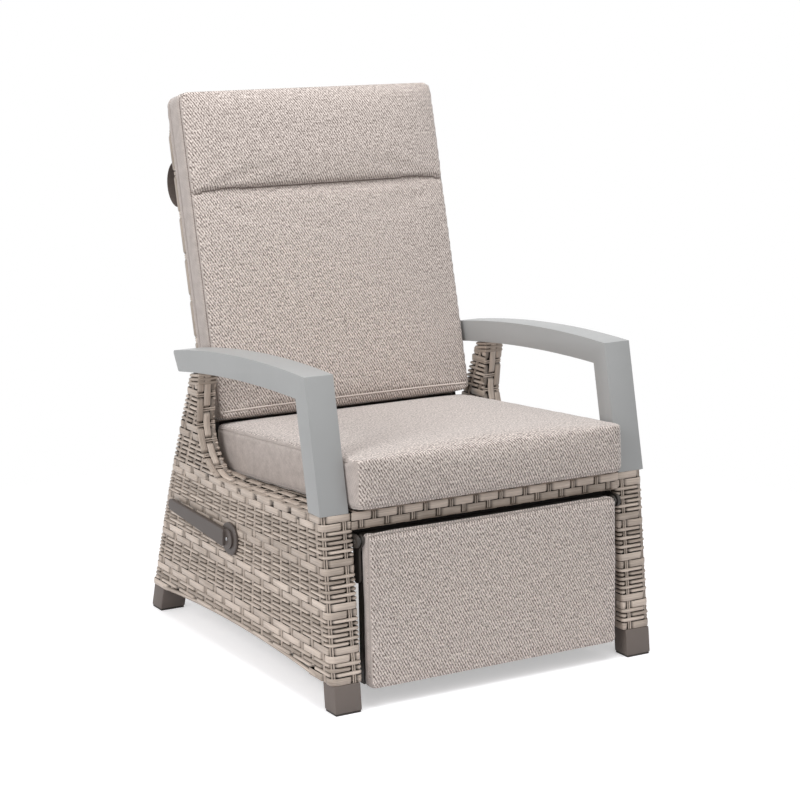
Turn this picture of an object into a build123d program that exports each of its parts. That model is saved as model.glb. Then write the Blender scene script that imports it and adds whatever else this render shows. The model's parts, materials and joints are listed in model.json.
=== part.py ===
from build123d import *
import math
import os

os.makedirs("parts", exist_ok=True)

# The chair faces -Y and stands on z = 0; left and right are the sitter's, so left is +X.
sides = (("left", 1), ("right", -1))

# Width over both woven sides; every place along X follows from it
side_span = 708.0
arm_overhang = 1.6
side_thickness = 58.0
post_thickness = 42.0
leg_thickness = 64.0
weave_wall = 4.0
fit_gap = 0.3
running_gap = 0.05
press_gap = 0.02
cut_overrun = 10.0

# Front line of the legs, from the floor to the arm's post
front_foot_y = -402.0
leg_lean = 7.0
leg_top_z = 359.3
post_lean = 12.5

# Rear edge of the sides, an arc through three points
rear_foot_y = 381.0
rear_waist_y = 277.0
rear_waist_z = 293.0
rear_top_y = 170.6
rear_top_z = 531.6

# Arms
arm_inner_gap = 1.3
arm_wall = 3.0
arm_crest_y = -12.5
arm_crest_z = 595.9
arm_front_z = 602.7
arm_rear_top_y = 239.4
arm_rear_top_z = 564.3
arm_rear_low_y = 215.5
arm_rear_low_z = 525.7
arm_under_y = -52.5
arm_under_z = 553.1
arm_corner_z = 558.6
arm_rear_rounding = 5.0
post_depth = 43.5

# Feet and glide pads
foot_width = 54.5
foot_inset = 4.0
front_foot_depth = 41.5
rear_foot_depth = 43.7
foot_height = 54.0
pad_height = 4.0
pad_inset = 1.5
plug_height = 20.0

# Side frame tube
side_tube = 30.0
side_tube_wall = 2.0
side_tube_gap = 6.0
side_tube_inset = 6.0
rear_tube_inset = 6.5
side_rail_drop = 12.0
side_rail_height = 28.0
low_rail_z = 90.0
low_rail_height = 25.0
rail_end_overlap = 12.0
spigot_height = 70.0
spigot_inset = 6.0

# Woven side outline
side_dip_y = 20.0
side_dip_z = 341.5
side_bend_y = 107.0
side_bend_z = 366.0
side_post_y = 142.0
side_post_z = 440.0
side_post_top_y = 131.0
side_arch_z = 68.0
leg_depth = 60.0
rear_leg_depth = 52.0

# Seat, on a plane that falls towards the back
seat_slope = 4.2
seat_front_y = -345.0
seat_front_z = 364.0
deck_thickness = 8.0
deck_side_gap = 1.0
deck_front = 19.0
deck_rear = 512.0
seat_tube = 20.0
seat_tube_height = 22.0
seat_tube_wall = 2.0
seat_frame_gap = 0.5
seat_frame_front = -10.5
seat_frame_rear = 506.0
front_bar_depth = 24.0
seat_lug_length = 34.0
seat_lug_places = (85.0, 240.0, 420.0)
cross_bar_width = 20.0

# Woven front rail
front_rail_y = -361.6
front_rail_depth = 34.0
front_rail_low_z = 328.0
front_rail_top_z = 361.0
front_rail_wall = 3.0

# Rear crossbar
rear_bar_z = 145.0
rear_bar_height = 24.0
rear_bar_depth = 24.0
rear_bar_weave_gap = 0.5
rear_bar_weave_wall = 3.0

# Back, on a plane through its pivot
pivot_y = 206.0
pivot_z = 330.0
back_lean = 14.5
recline_angle = 45.0
back_tube = 22.0
back_tube_wall = 1.8
back_side_gap = 7.0
back_weave_wall = 2.5
back_length = 722.0
back_corner = 48.0
back_weave_start = 84.0
back_cross_tube = 18.0
back_cross_places = (104.0, 330.0, 534.0)
back_tube_tail = 16.0

# Back cushion, two sewn sections
back_cushion_gap = 2.0
back_cushion_start = 86.0
back_channel = 534.0
back_cushion_end = 740.0
back_edge = 56.0
back_crown = 17.0
head_crown = 22.0
channel_overlap = 5.0
cushion_pull = 3.5
cushion_corner = 32.0
head_corner = 42.0

# Seat cushion
seat_cushion_gap = 2.3
seat_cushion_front = -42.0
seat_cushion_rear = 529.0
seat_edge = 92.0
seat_crown = 12.0

# Cushion straps behind the back
strap_width = 28.0
strap_thickness = 1.6
strap_edge_inset = 3.0
strap_low = 522.0
strap_high = 612.0
strap_stand = 38.0

# Footrest, on a plane through its pivot
footrest_pivot_y = -365.0
footrest_pivot_z = 308.0
footrest_tilt = 2.0
footrest_angle = 80.0
footrest_side_gap = 16.0
footrest_top = 13.0
footrest_bottom = -275.0
footrest_face = 22.0
footrest_crown = 6.0
footrest_corner = 26.0
footrest_backing = 2.5
footrest_tube_depth = 12.0
footrest_tube = 25.0
footrest_back = -24.0
footrest_frame_inset = 4.0
lug_thickness = 4.0
lug_radius = 11.0
lug_reach = 70.0
bracket_thickness = 6.0
bracket_radius = 12.0
bracket_reach = 55.0
footrest_pin = 8.0
footrest_pin_collar = 12.0

# Crank, link bars and their pins
crank_radius = 110.0
crank_start = recline_angle / 2
crank_plate = 5.0
crank_plate_width = 26.0
crank_plate_top = 60.0
crank_rod = 10.0
crank_rod_overhang = 2.8
crank_bolt = 6.0
crank_bolt_head = 11.0
crank_bolt_head_height = 3.5
crank_bolt_places = (26.0, 58.0)
link_thickness = 4.5
link_crank_gap = 2.7
link_width = 20.0
link_low_z = 212.0
link_low_rear_y = 150.0
link_low_front_y = -80.0
link_pin_radius = 66.0
link_pin_start = footrest_angle / 2
link_pin = 8.0
link_slot_play = 2.8
link_bracket_thickness = 5.0
link_bracket_gap = 6.0
link_bracket_width = 22.0
link_pin_clip = 12.0
link_pin_clip_thickness = 1.2

# Hinge plates, pivot bolts and bushes
hinge_plate_thickness = 4.0
hinge_plate_low_z = 288.0
hinge_plate_top_z = 352.0
hinge_plate_front_y = 186.0
hinge_plate_depth = 64.0
hinge_plate_corner = 10.0
hinge_bolt = 8.0
hinge_bolt_head = 13.0
hinge_bolt_head_height = 3.0
hinge_bolt_rear_y = 240.0
hinge_bolt_rear_z = 336.0
hinge_bolt_low_y = 222.0
hinge_bolt_low_z = 297.0
pivot_bolt = 10.0
pivot_bolt_head = 18.0
pivot_bolt_head_height = 4.0
bush_outer = 14.0
bush_flange = 22.0
bush_flange_gap = 0.3

# Gas spring along the middle
gas_axis_z = 224.3
gas_cylinder = 28.0
gas_wall = 2.0
gas_front_y = 22.0
gas_length = 126.0
gas_head = 12.0
gas_guide = 18.0
gas_rod = 10.0
gas_piston = 9.0
gas_piston_gap = 0.1
gas_eye_width = 10.0
gas_eye_wall = 6.5
gas_eye_play = 1.4
gas_neck = 16.0
gas_neck_length = 9.0
hanger_places_y = (50.0, 120.0)
hanger_length = 18.0
hanger_ring = 40.0
hanger_width = 20.0

# Release lever
lever_y = -2.0
lever_z = 237.0
lever_angle = 20.0
rosette_diameter = 64.0
rosette_thickness = 5.7
rosette_rounding = 2.5
rosette_boss = 20.0
rosette_boss_length = 10.0
shaft_diameter = 12.0
shaft_inner_x = 28.0
shaft_tang = 8.0
shaft_tang_length = 2.0
hub_diameter = 39.0
hub_thickness = 3.3
grip_stand = 15.0
grip_start = 7.0
grip_length = 251.0
grip_root_height = 36.0
grip_tip_height = 22.0
grip_rise = 3.4
grip_corner = 8.0
grip_edge = 2.0
lever_screw = 4.0
lever_screw_head = 7.0
lever_screw_head_height = 1.6
lever_screw_length = 14.0
finger_width = 8.0
finger_hub = 22.0
finger_reach = 12.7
finger_nose = 10.0
release_pin = 6.0
release_travel = 3.8
release_spare = 2.2
shaft_hanger_thickness = 6.0
shaft_hanger_width = 28.0
shaft_hanger_x = 18.0

# Bolts of the arms, the seat frame and the rear crossbar
arm_bolt = 8.0
arm_bolt_y = 151.0
arm_bolt_head = 14.0
arm_bolt_head_height = 6.0
arm_bolt_length = 34.0
post_bolt_rise = 36.0
seat_bolt = 8.0
seat_bolt_head = 13.0
seat_bolt_head_height = 4.0
bolt_bite = 12.0


# Circle through three points, as its centre and radius.
def circle_through(first, second, third):
    (ax, ay), (bx, by), (cx, cy) = first, second, third
    twice_area = 2 * (ax * (by - cy) + bx * (cy - ay) + cx * (ay - by))
    a2 = ax**2 + ay**2
    b2 = bx**2 + by**2
    c2 = cx**2 + cy**2
    centre_x = (a2 * (by - cy) + b2 * (cy - ay) + c2 * (ay - by)) / twice_area
    centre_y = (a2 * (cx - bx) + b2 * (ax - cx) + c2 * (bx - ax)) / twice_area
    return centre_x, centre_y, math.hypot(ax - centre_x, ay - centre_y)


rear_circle = circle_through((rear_foot_y, 0), (rear_waist_y, rear_waist_z), (rear_top_y, rear_top_z))


# Front line of the leg at a height.
def leg_front(z):
    return front_foot_y + z * math.tan(math.radians(leg_lean))


# Front line of the arm's post at a height.
def post_front(z):
    return leg_front(leg_top_z) + (z - leg_top_z) * math.tan(math.radians(post_lean))


# Rear edge of the side at a height.
def side_rear(z):
    centre_y, centre_z, radius = rear_circle
    return centre_y + math.sqrt(radius**2 - (z - centre_z) ** 2)


# Top of the seat deck at a place along Y.
def deck_top(y):
    return seat_front_z - (y - seat_front_y) * math.tan(math.radians(seat_slope))


# Plane whose y runs up a panel that leans back by some degrees, and whose z looks to the front.
def leaning_plane(y, z, lean):
    angle = math.radians(lean)
    return Plane(origin=(0, y, z), x_dir=(1, 0, 0), z_dir=(0, -math.cos(angle), math.sin(angle)))


# Point of a leaning panel as (y, z), from its place up the panel and its stand in front of it.
def leaning_point(y, z, lean, up, stand):
    angle = math.radians(lean)
    return (
        y + up * math.sin(angle) - stand * math.cos(angle),
        z + up * math.cos(angle) + stand * math.sin(angle),
    )


# Plane of a bolt or shaft along X whose sketches show (y, z).
def side_plane(x):
    return Plane.YZ.offset(x)


# Arm's underside at the post where the rear post meets it.
arm_under_circle = circle_through(
    (arm_rear_low_y, arm_rear_low_z),
    (arm_under_y, arm_under_z),
    (post_front(arm_corner_z) + post_depth, arm_corner_z),
)


# Underside of the arm at a place along Y.
def arm_underside(y):
    centre_y, centre_z, radius = arm_under_circle
    return centre_z + math.sqrt(radius**2 - (y - centre_y) ** 2)


# Top of the side frame under the arm at a place along Y.
def frame_top(y):
    return arm_underside(y) - fit_gap


back_plane = leaning_plane(pivot_y, pivot_z, back_lean)
footrest_plane = leaning_plane(footrest_pivot_y, footrest_pivot_z, footrest_tilt)
seat_angle = math.radians(seat_slope)
seat_plane = Plane(
    origin=(0, seat_front_y, seat_front_z),
    x_dir=(1, 0, 0),
    z_dir=(0, math.sin(seat_angle), math.cos(seat_angle)),
)

# Crank rod and footrest link pin at rest
crank_y = pivot_y + crank_radius * math.sin(math.radians(crank_start))
crank_z = pivot_z - crank_radius * math.cos(math.radians(crank_start))
crank_low_z = pivot_z - crank_radius
link_pin_y = footrest_pivot_y + link_pin_radius * math.sin(math.radians(link_pin_start))
link_pin_z = footrest_pivot_z - link_pin_radius * math.cos(math.radians(link_pin_start))
link_rise_rest = link_pin_z - crank_z
link_rise_mid = (footrest_pivot_z - link_pin_radius) - crank_low_z
link_slot_y = crank_y + footrest_pivot_y - pivot_y
link_slot_travel = abs(link_rise_rest - link_rise_mid)
link_slot_z = crank_z + (link_rise_rest + link_rise_mid) / 2

side_outer_x = side_span / 2
side_inner_x = side_outer_x - side_thickness
post_inner_x = side_outer_x - post_thickness
leg_inner_x = side_outer_x - leg_thickness
side_tube_outer_x = side_outer_x - side_tube_gap
side_tube_inner_x = side_tube_outer_x - side_tube
foot_outer_x = side_outer_x - foot_inset
arm_outer_x = side_outer_x + arm_overhang
arm_width = arm_outer_x - side_inner_x - arm_inner_gap
grip_outer_x = side_outer_x + grip_stand
deck_half_width = leg_inner_x - deck_side_gap
seat_frame_half_width = leg_inner_x - seat_frame_gap
front_rail_half_width = leg_inner_x - seat_frame_gap
seat_cushion_half_width = side_inner_x - seat_cushion_gap
footrest_half_width = leg_inner_x - footrest_side_gap
back_half_width = side_inner_x - back_side_gap
back_cushion_half_width = side_inner_x - back_cushion_gap
strap_edge_x = back_half_width - strap_edge_inset
back_tube_x = back_half_width - back_weave_wall - back_tube / 2
crank_plate_outer_x = back_tube_x - back_tube / 2 - fit_gap
crank_rod_end = crank_plate_outer_x + crank_rod_overhang
link_outer_x = crank_plate_outer_x - crank_plate - link_crank_gap
link_bracket_outer_x = link_outer_x - link_thickness - link_bracket_gap
hinge_plate_inner_x = side_inner_x - hinge_plate_thickness


# Two-dimensional shape of the woven side, in (y, z).
def side_shape():
    with BuildSketch() as shape:
        with BuildLine():
            Line((leg_front(foot_height), foot_height), (leg_front(leg_top_z), leg_top_z))
            Line((leg_front(leg_top_z), leg_top_z), (side_dip_y, side_dip_z))
            ThreePointArc((side_dip_y, side_dip_z), (side_bend_y, side_bend_z), (side_post_y, side_post_z))
            post_top = arm_underside(side_post_top_y) - fit_gap
            Line((side_post_y, side_post_z), (side_post_top_y, post_top))
            rear_top = arm_underside(rear_top_y) - fit_gap
            Line((side_post_top_y, post_top), (side_rear(rear_top), rear_top))
            waist_z = (rear_top + foot_height) / 2
            ThreePointArc(
                (side_rear(rear_top), rear_top),
                (side_rear(waist_z), waist_z),
                (side_rear(foot_height), foot_height),
            )
            rear_leg_y = side_rear(foot_height) - rear_leg_depth
            front_leg_y = leg_front(foot_height) + leg_depth
            Line((side_rear(foot_height), foot_height), (rear_leg_y, foot_height))
            ThreePointArc(
                (rear_leg_y, foot_height),
                ((rear_leg_y + front_leg_y) / 2, side_arch_z),
                (front_leg_y, foot_height),
            )
            Line((front_leg_y, foot_height), (leg_front(foot_height), foot_height))
        make_face()
    return shape.sketch


# The side below the seat, where it is at its full thickness.
def low_side_shape():
    with BuildSketch() as shape:
        add(side_shape())
        with BuildLine():
            Polyline(
                (side_dip_y, side_dip_z),
                (side_rear(side_dip_z) + cut_overrun, side_dip_z),
                (side_rear(rear_top_z) + rear_foot_y, side_dip_z),
                (side_rear(rear_top_z) + rear_foot_y, arm_front_z),
                (side_dip_y, arm_front_z),
                close=True,
            )
        make_face(mode=Mode.SUBTRACT)
    return shape.sketch


# The woven leg under the arm's post.
def leg_shape():
    top_slope = (leg_top_z - side_dip_z) / (side_dip_y - leg_front(leg_top_z))
    with BuildSketch() as shape:
        with BuildLine():
            Polyline(
                (leg_front(foot_height), foot_height),
                (leg_front(leg_top_z), leg_top_z),
                (leg_front(leg_top_z) + leg_depth, leg_top_z - top_slope * leg_depth),
                (leg_front(foot_height) + leg_depth, foot_height),
                close=True,
            )
        make_face()
    return shape.sketch


# Tubes of the side frame in (y, z), thinned by an inset for their bore.
def side_frame_shape():
    top_z = leg_top_z + spigot_height
    rear_top = arm_underside(rear_top_y - side_tube)
    low_rail_mid = low_rail_z + low_rail_height / 2
    with BuildSketch() as shape:
        with BuildLine():
            Polyline(
                (leg_front(foot_height) + side_tube_inset, foot_height),
                (leg_front(leg_top_z) + side_tube_inset, leg_top_z),
                (post_front(top_z) + spigot_inset, top_z),
                (post_front(top_z) + spigot_inset + side_tube, top_z),
                (leg_front(leg_top_z) + side_tube_inset + side_tube, leg_top_z),
                (leg_front(foot_height) + side_tube_inset + side_tube, foot_height),
                close=True,
            )
        make_face()
        front_inset = rear_tube_inset + side_tube
        low_y = side_rear(foot_height)
        high_y = side_rear(rear_top)
        mid_z = (foot_height + rear_top) / 2
        mid_y = side_rear(mid_z)
        with BuildLine():
            ThreePointArc(
                (low_y - rear_tube_inset, foot_height),
                (mid_y - rear_tube_inset, mid_z),
                (high_y - rear_tube_inset, frame_top(high_y - rear_tube_inset)),
            )
            Line(
                (high_y - rear_tube_inset, frame_top(high_y - rear_tube_inset)),
                (high_y - front_inset, frame_top(high_y - front_inset)),
            )
            ThreePointArc(
                (high_y - front_inset, frame_top(high_y - front_inset)),
                (mid_y - front_inset, mid_z),
                (low_y - front_inset, foot_height),
            )
            Line((low_y - front_inset, foot_height), (low_y - rear_tube_inset, foot_height))
        make_face()
        rail_front = leg_front(leg_top_z) + side_tube_inset + rail_end_overlap
        rail_rear = side_rear(side_dip_z) - rear_tube_inset - rail_end_overlap
        with BuildLine():
            Polyline(
                (rail_front, deck_top(rail_front) - side_rail_drop),
                (rail_rear, deck_top(rail_rear) - side_rail_drop),
                (rail_rear, deck_top(rail_rear) - side_rail_drop - side_rail_height),
                (rail_front, deck_top(rail_front) - side_rail_drop - side_rail_height),
                close=True,
            )
        make_face()
        low_front = leg_front(low_rail_mid) + side_tube_inset + rail_end_overlap
        low_rear = side_rear(low_rail_mid) - rear_tube_inset - rail_end_overlap
        with Locations(((low_front + low_rear) / 2, low_rail_mid)):
            Rectangle(low_rear - low_front, low_rail_height)
    return shape.sketch


# Plan outline of a cushion: long edges that pull in a little between rounded corners.
def cushion_outline(half_width, low, high, corner, pull, inset):
    right = half_width - inset
    top = high - inset
    bottom = low + inset
    rounding = corner * (top - bottom) / (high - low)
    middle = (top + bottom) / 2
    bend = rounding * (1 - math.sqrt(0.5))
    with BuildSketch() as outline:
        with BuildLine():
            ThreePointArc((right - rounding, top), (0, top - pull), (-right + rounding, top))
            ThreePointArc((-right + rounding, top), (-right + bend, top - bend), (-right, top - rounding))
            ThreePointArc((-right, top - rounding), (-right + pull, middle), (-right, bottom + rounding))
            ThreePointArc((-right, bottom + rounding), (-right + bend, bottom + bend), (-right + rounding, bottom))
            ThreePointArc((-right + rounding, bottom), (0, bottom + pull), (right - rounding, bottom))
            ThreePointArc((right - rounding, bottom), (right - bend, bottom + bend), (right, bottom + rounding))
            ThreePointArc((right, bottom + rounding), (right - pull, middle), (right, top - rounding))
            ThreePointArc((right, top - rounding), (right - bend, top - bend), (right - rounding, top))
        make_face()
    return outline.sketch


# Outlines of a cushion as (height, inset): the rim's as shares of the edge height, the crown's as
# shares of the crown and of half the short side.
cushion_rim_shares = (
    (0.0, 0.09),
    (0.04, 0.04),
    (0.12, 0.012),
    (0.45, 0.0),
    (0.78, 0.008),
    (0.90, 0.04),
    (0.97, 0.09),
    (1.0, 0.13),
)
footrest_rim_shares = ((0.0, 0.05), (0.10, 0.01), (0.66, 0.01), (0.86, 0.17), (0.95, 0.31), (1.0, 0.42))
cushion_crown_shares = ((0.30, 0.14), (0.62, 0.30), (0.87, 0.50), (1.0, 0.74))


# Crowned cushion lofted over a plane from its flat rear face to the top of its crown.
def crowned_cushion(plane, half_width, low, high, edge, crown, corner, pull, rim_shares):
    half_short_side = (high - low) / 2
    outlines = []
    for height_share, inset_share in rim_shares:
        with BuildSketch(plane.offset(edge * height_share)) as outline:
            add(cushion_outline(half_width, low, high, corner, pull, edge * inset_share))
        outlines.append(outline.sketch)
    for height_share, inset_share in cushion_crown_shares:
        inset = half_short_side * inset_share
        with BuildSketch(plane.offset(edge + crown * height_share)) as outline:
            add(cushion_outline(half_width, low, high, corner, pull, inset))
        outlines.append(outline.sketch)
    loft(outlines, ruled=True)


# Bolt along X with a round head, from the head's face to the shank's tip.
def bolt_along_x(y, z, head_x, tip_x, diameter, head_diameter, head_height):
    direction = 1 if tip_x > head_x else -1
    with BuildSketch(side_plane(head_x)) as head:
        with Locations((y, z)):
            Circle(head_diameter / 2)
    extrude(head.sketch, amount=direction * head_height)
    with BuildSketch(side_plane(head_x)) as shank:
        with Locations((y, z)):
            Circle(diameter / 2)
    extrude(shank.sketch, amount=tip_x - head_x)


# Round hole along X through all that lies between two places.
def hole_along_x(y, z, start_x, end_x, diameter):
    with BuildSketch(side_plane(start_x)) as bore:
        with Locations((y, z)):
            Circle(diameter / 2)
    extrude(bore.sketch, amount=end_x - start_x, mode=Mode.SUBTRACT)


# Woven sides, hollow round their frames
seat_bolt_points = []
for place in seat_lug_places:
    bolt_y = seat_front_y + place * math.cos(seat_angle)
    seat_bolt_points.append((bolt_y, deck_top(bolt_y) - deck_thickness - seat_tube_height / 2))
hinge_bolt_points = ((hinge_bolt_rear_y, hinge_bolt_rear_z), (hinge_bolt_low_y, hinge_bolt_low_z))
rear_bar_y = side_rear(rear_bar_z) - rear_tube_inset - side_tube / 2

for side, sign in sides:
    with BuildPart() as side_weave:
        with BuildSketch(side_plane(sign * post_inner_x)):
            add(side_shape())
        extrude(amount=sign * post_thickness)
        with BuildSketch(side_plane(sign * side_inner_x)):
            add(low_side_shape())
        extrude(amount=sign * side_thickness)
        with BuildSketch(side_plane(sign * leg_inner_x)):
            add(leg_shape())
        extrude(amount=sign * leg_thickness)
        with BuildSketch(side_plane(sign * (post_inner_x + weave_wall))):
            add(side_shape())
            offset(amount=-weave_wall)
        extrude(amount=sign * (post_thickness - 2 * weave_wall), mode=Mode.SUBTRACT)
        with BuildSketch(side_plane(sign * (side_inner_x + weave_wall))):
            add(low_side_shape())
            offset(amount=-weave_wall)
        extrude(amount=sign * (side_thickness - 2 * weave_wall), mode=Mode.SUBTRACT)
        with BuildSketch(side_plane(sign * (side_tube_inner_x - fit_gap))):
            add(side_frame_shape())
            offset(amount=fit_gap)
        extrude(amount=sign * (side_tube + 2 * fit_gap), mode=Mode.SUBTRACT)
        for bolt_y, bolt_z in seat_bolt_points + list(hinge_bolt_points) + [(rear_bar_y, rear_bar_z)]:
            hole_along_x(
                bolt_y,
                bolt_z,
                sign * (side_inner_x - cut_overrun),
                sign * side_tube_inner_x,
                hinge_bolt + 2 * fit_gap,
            )
        if sign < 0:
            hole_along_x(
                lever_y, lever_z, -side_outer_x - cut_overrun, -side_inner_x + cut_overrun, rosette_boss + 2 * fit_gap
            )
    side_weave.part.label = f"side_weave_{side}"
    export_step(side_weave.part, f"parts/side_weave_{side}.step")

# Side frames of welded tube, with a spigot for the arm's post
for side, sign in sides:
    with BuildPart() as side_frame:
        with BuildSketch(side_plane(sign * side_tube_inner_x)):
            add(side_frame_shape())
        extrude(amount=sign * side_tube)
        with BuildSketch(side_plane(sign * (side_tube_inner_x + side_tube_wall))):
            add(side_frame_shape())
            offset(amount=-side_tube_wall)
        extrude(amount=sign * (side_tube - 2 * side_tube_wall), mode=Mode.SUBTRACT)
        front_plug_y = leg_front(foot_height) + side_tube_inset + side_tube / 2
        rear_plug_y = side_rear(foot_height) - rear_tube_inset - side_tube / 2
        plug_room = side_tube - 2 * side_tube_wall
        for plug_y in (front_plug_y, rear_plug_y):
            with Locations((sign * (side_tube_outer_x - side_tube / 2), plug_y, foot_height)):
                Box(plug_room, plug_room, 2 * side_tube_wall + fit_gap, mode=Mode.SUBTRACT)
        bolt_start = sign * (side_tube_inner_x - cut_overrun)
        bolt_end = sign * (side_tube_inner_x + bolt_bite)
        for bolt_y, bolt_z in seat_bolt_points + list(hinge_bolt_points) + [(rear_bar_y, rear_bar_z)]:
            hole_along_x(bolt_y, bolt_z, bolt_start, bolt_end, hinge_bolt + 2 * press_gap)
        post_bolt_z = leg_top_z + post_bolt_rise
        post_bolt_y = post_front(post_bolt_z) + post_depth / 2
        hole_along_x(post_bolt_y, post_bolt_z, bolt_start, bolt_end, arm_bolt + 2 * press_gap)
        arm_bolt_x = sign * (side_tube_outer_x - side_tube / 2)
        with Locations((arm_bolt_x, arm_bolt_y, arm_underside(arm_bolt_y))):
            Cylinder((arm_bolt + fit_gap) / 2, side_tube, mode=Mode.SUBTRACT)
    side_frame.part.label = f"side_frame_{side}"
    export_step(side_frame.part, f"parts/side_frame_{side}.step")

# Aluminium arms, a hollow rail mitred to a hollow post
for side, sign in sides:
    with BuildPart() as arm:
        with BuildSketch(side_plane(sign * (arm_outer_x - arm_width))) as arm_profile:
            with BuildLine():
                Line((post_front(leg_top_z), leg_top_z), (post_front(arm_front_z), arm_front_z))
                ThreePointArc(
                    (post_front(arm_front_z), arm_front_z),
                    (arm_crest_y, arm_crest_z),
                    (arm_rear_top_y, arm_rear_top_z),
                )
                Line((arm_rear_top_y, arm_rear_top_z), (arm_rear_low_y, arm_rear_low_z))
                ThreePointArc(
                    (arm_rear_low_y, arm_rear_low_z),
                    (arm_under_y, arm_under_z),
                    (post_front(arm_corner_z) + post_depth, arm_corner_z),
                )
                Line(
                    (post_front(arm_corner_z) + post_depth, arm_corner_z),
                    (post_front(leg_top_z) + post_depth, leg_top_z),
                )
                Line((post_front(leg_top_z) + post_depth, leg_top_z), (post_front(leg_top_z), leg_top_z))
            make_face()
            fillet(arm_profile.vertices().sort_by(Axis.X)[-2:], arm_rear_rounding)
        extrude(amount=sign * arm_width)
        with BuildSketch(side_plane(sign * (arm_outer_x - arm_width + arm_wall))):
            add(arm_profile.sketch_local)
            offset(amount=-arm_wall)
        extrude(amount=sign * (arm_width - 2 * arm_wall), mode=Mode.SUBTRACT)
        mouth_x = sign * (side_tube_inner_x - fit_gap)
        with BuildSketch(side_plane(mouth_x)):
            add(side_frame_shape())
            offset(amount=fit_gap)
            with Locations((arm_rear_low_y, arm_front_z)):
                Rectangle(3 * arm_rear_low_y, 3 * arm_rear_low_y, mode=Mode.SUBTRACT)
        extrude(amount=sign * (side_tube + 2 * fit_gap), mode=Mode.SUBTRACT)
        hole_along_x(
            post_bolt_y,
            post_bolt_z,
            sign * (arm_outer_x - arm_width - cut_overrun),
            sign * (arm_outer_x - arm_width + arm_wall + fit_gap),
            arm_bolt + fit_gap,
        )
        with Locations((sign * (side_tube_outer_x - side_tube / 2), arm_bolt_y, arm_underside(arm_bolt_y))):
            Cylinder((arm_bolt + fit_gap) / 2, side_tube, mode=Mode.SUBTRACT)
    arm.part.label = f"arm_{side}"
    export_step(arm.part, f"parts/arm_{side}.step")

# Feet, each a block under the leg with a plug into the tube
for side, sign in sides:
    for end in ("front", "rear"):
        if end == "front":
            outer_low, outer_high = leg_front(pad_height), leg_front(foot_height)
            depth, inward = front_foot_depth, 1
            tube_inset = side_tube_inset
        else:
            outer_low, outer_high = side_rear(pad_height), side_rear(foot_height)
            depth, inward = rear_foot_depth, -1
            tube_inset = rear_tube_inset
        with BuildPart() as foot:
            with BuildSketch(side_plane(sign * (foot_outer_x - foot_width))):
                with BuildLine():
                    Polyline(
                        (outer_low, pad_height),
                        (outer_high, foot_height),
                        (outer_high + inward * depth, foot_height),
                        (outer_low + inward * depth, pad_height),
                        close=True,
                    )
                make_face()
            extrude(amount=sign * foot_width)
            plug_size = side_tube - 2 * side_tube_wall - 6 * fit_gap
            plug_x = side_tube_outer_x - side_tube / 2 - plug_size / 2
            plug_top = foot_height + plug_height
            if end == "front":
                plug_lean = leg_front(plug_top) - leg_front(foot_height)
            else:
                plug_lean = side_rear(plug_top) - side_rear(foot_height)
            plug_y = outer_high + inward * (tube_inset + side_tube / 2)
            with BuildSketch(side_plane(sign * plug_x)):
                with BuildLine():
                    Polyline(
                        (plug_y - plug_size / 2, foot_height),
                        (plug_y + plug_size / 2, foot_height),
                        (plug_y + plug_size / 2 + plug_lean, plug_top),
                        (plug_y - plug_size / 2 + plug_lean, plug_top),
                        close=True,
                    )
                make_face()
            extrude(amount=sign * plug_size)
        foot.part.label = f"foot_{end}_{side}"
        export_step(foot.part, f"parts/foot_{end}_{side}.step")

# Glide pads under the feet
with BuildPart() as glide_pads:
    pad_width = foot_width - 2 * pad_inset
    for side, sign in sides:
        pad_x = sign * (foot_outer_x - foot_width / 2)
        front_pad_y = leg_front(pad_height) + front_foot_depth / 2
        rear_pad_y = side_rear(pad_height) - rear_foot_depth / 2
        with Locations((pad_x, front_pad_y, pad_height / 2)):
            Box(pad_width, front_foot_depth - 2 * pad_inset, pad_height)
        with Locations((pad_x, rear_pad_y, pad_height / 2)):
            Box(pad_width, rear_foot_depth - 2 * pad_inset, pad_height)
glide_pads.part.label = "glide_pads"
export_step(glide_pads.part, "parts/glide_pads.step")

# Arm bolts: one up through each rear post, one through each spigot
with BuildPart() as arm_bolts:
    for side, sign in sides:
        bolt_x = sign * (side_tube_outer_x - side_tube / 2)
        head_top = arm_underside(arm_bolt_y) - 2 * side_tube_wall - fit_gap
        with Locations((bolt_x, arm_bolt_y, head_top - arm_bolt_head_height / 2)):
            Cylinder(arm_bolt_head / 2, arm_bolt_head_height)
        with Locations((bolt_x, arm_bolt_y, head_top - arm_bolt_head_height + arm_bolt_length / 2)):
            Cylinder(arm_bolt / 2, arm_bolt_length)
        with BuildSketch(side_plane(sign * (arm_outer_x - arm_width + fit_gap))):
            with Locations((post_bolt_y, post_bolt_z)):
                Circle(arm_bolt / 2)
        extrude(amount=sign * (side_tube_inner_x + bolt_bite - arm_outer_x + arm_width - 2 * fit_gap))
arm_bolts.part.label = "arm_bolts"
export_step(arm_bolts.part, "parts/arm_bolts.step")

# Seat frame of square tube, with lugs that reach the sides
frame_middle = (seat_frame_front + seat_frame_rear) / 2
frame_length = seat_frame_rear - seat_frame_front
cross_places = [(y - seat_front_y) / math.cos(seat_angle) for y in (lever_y,) + hanger_places_y]


# Seat frame in its own plane, thinned by an inset for the bore.
def seat_frame_shape(inset):
    with BuildSketch() as shape:
        with Locations((0, frame_middle)):
            Rectangle(2 * (seat_frame_half_width - inset), frame_length - 2 * inset)
        hole_front = seat_frame_front + front_bar_depth + inset
        hole_rear = seat_frame_rear - seat_tube - inset
        with Locations((0, (hole_front + hole_rear) / 2)):
            Rectangle(
                2 * (seat_frame_half_width - seat_tube - inset), hole_rear - hole_front, mode=Mode.SUBTRACT
            )
        for place in cross_places:
            with Locations((0, place)):
                Rectangle(2 * (seat_frame_half_width - inset), cross_bar_width - 2 * inset)
    return shape.sketch


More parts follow.
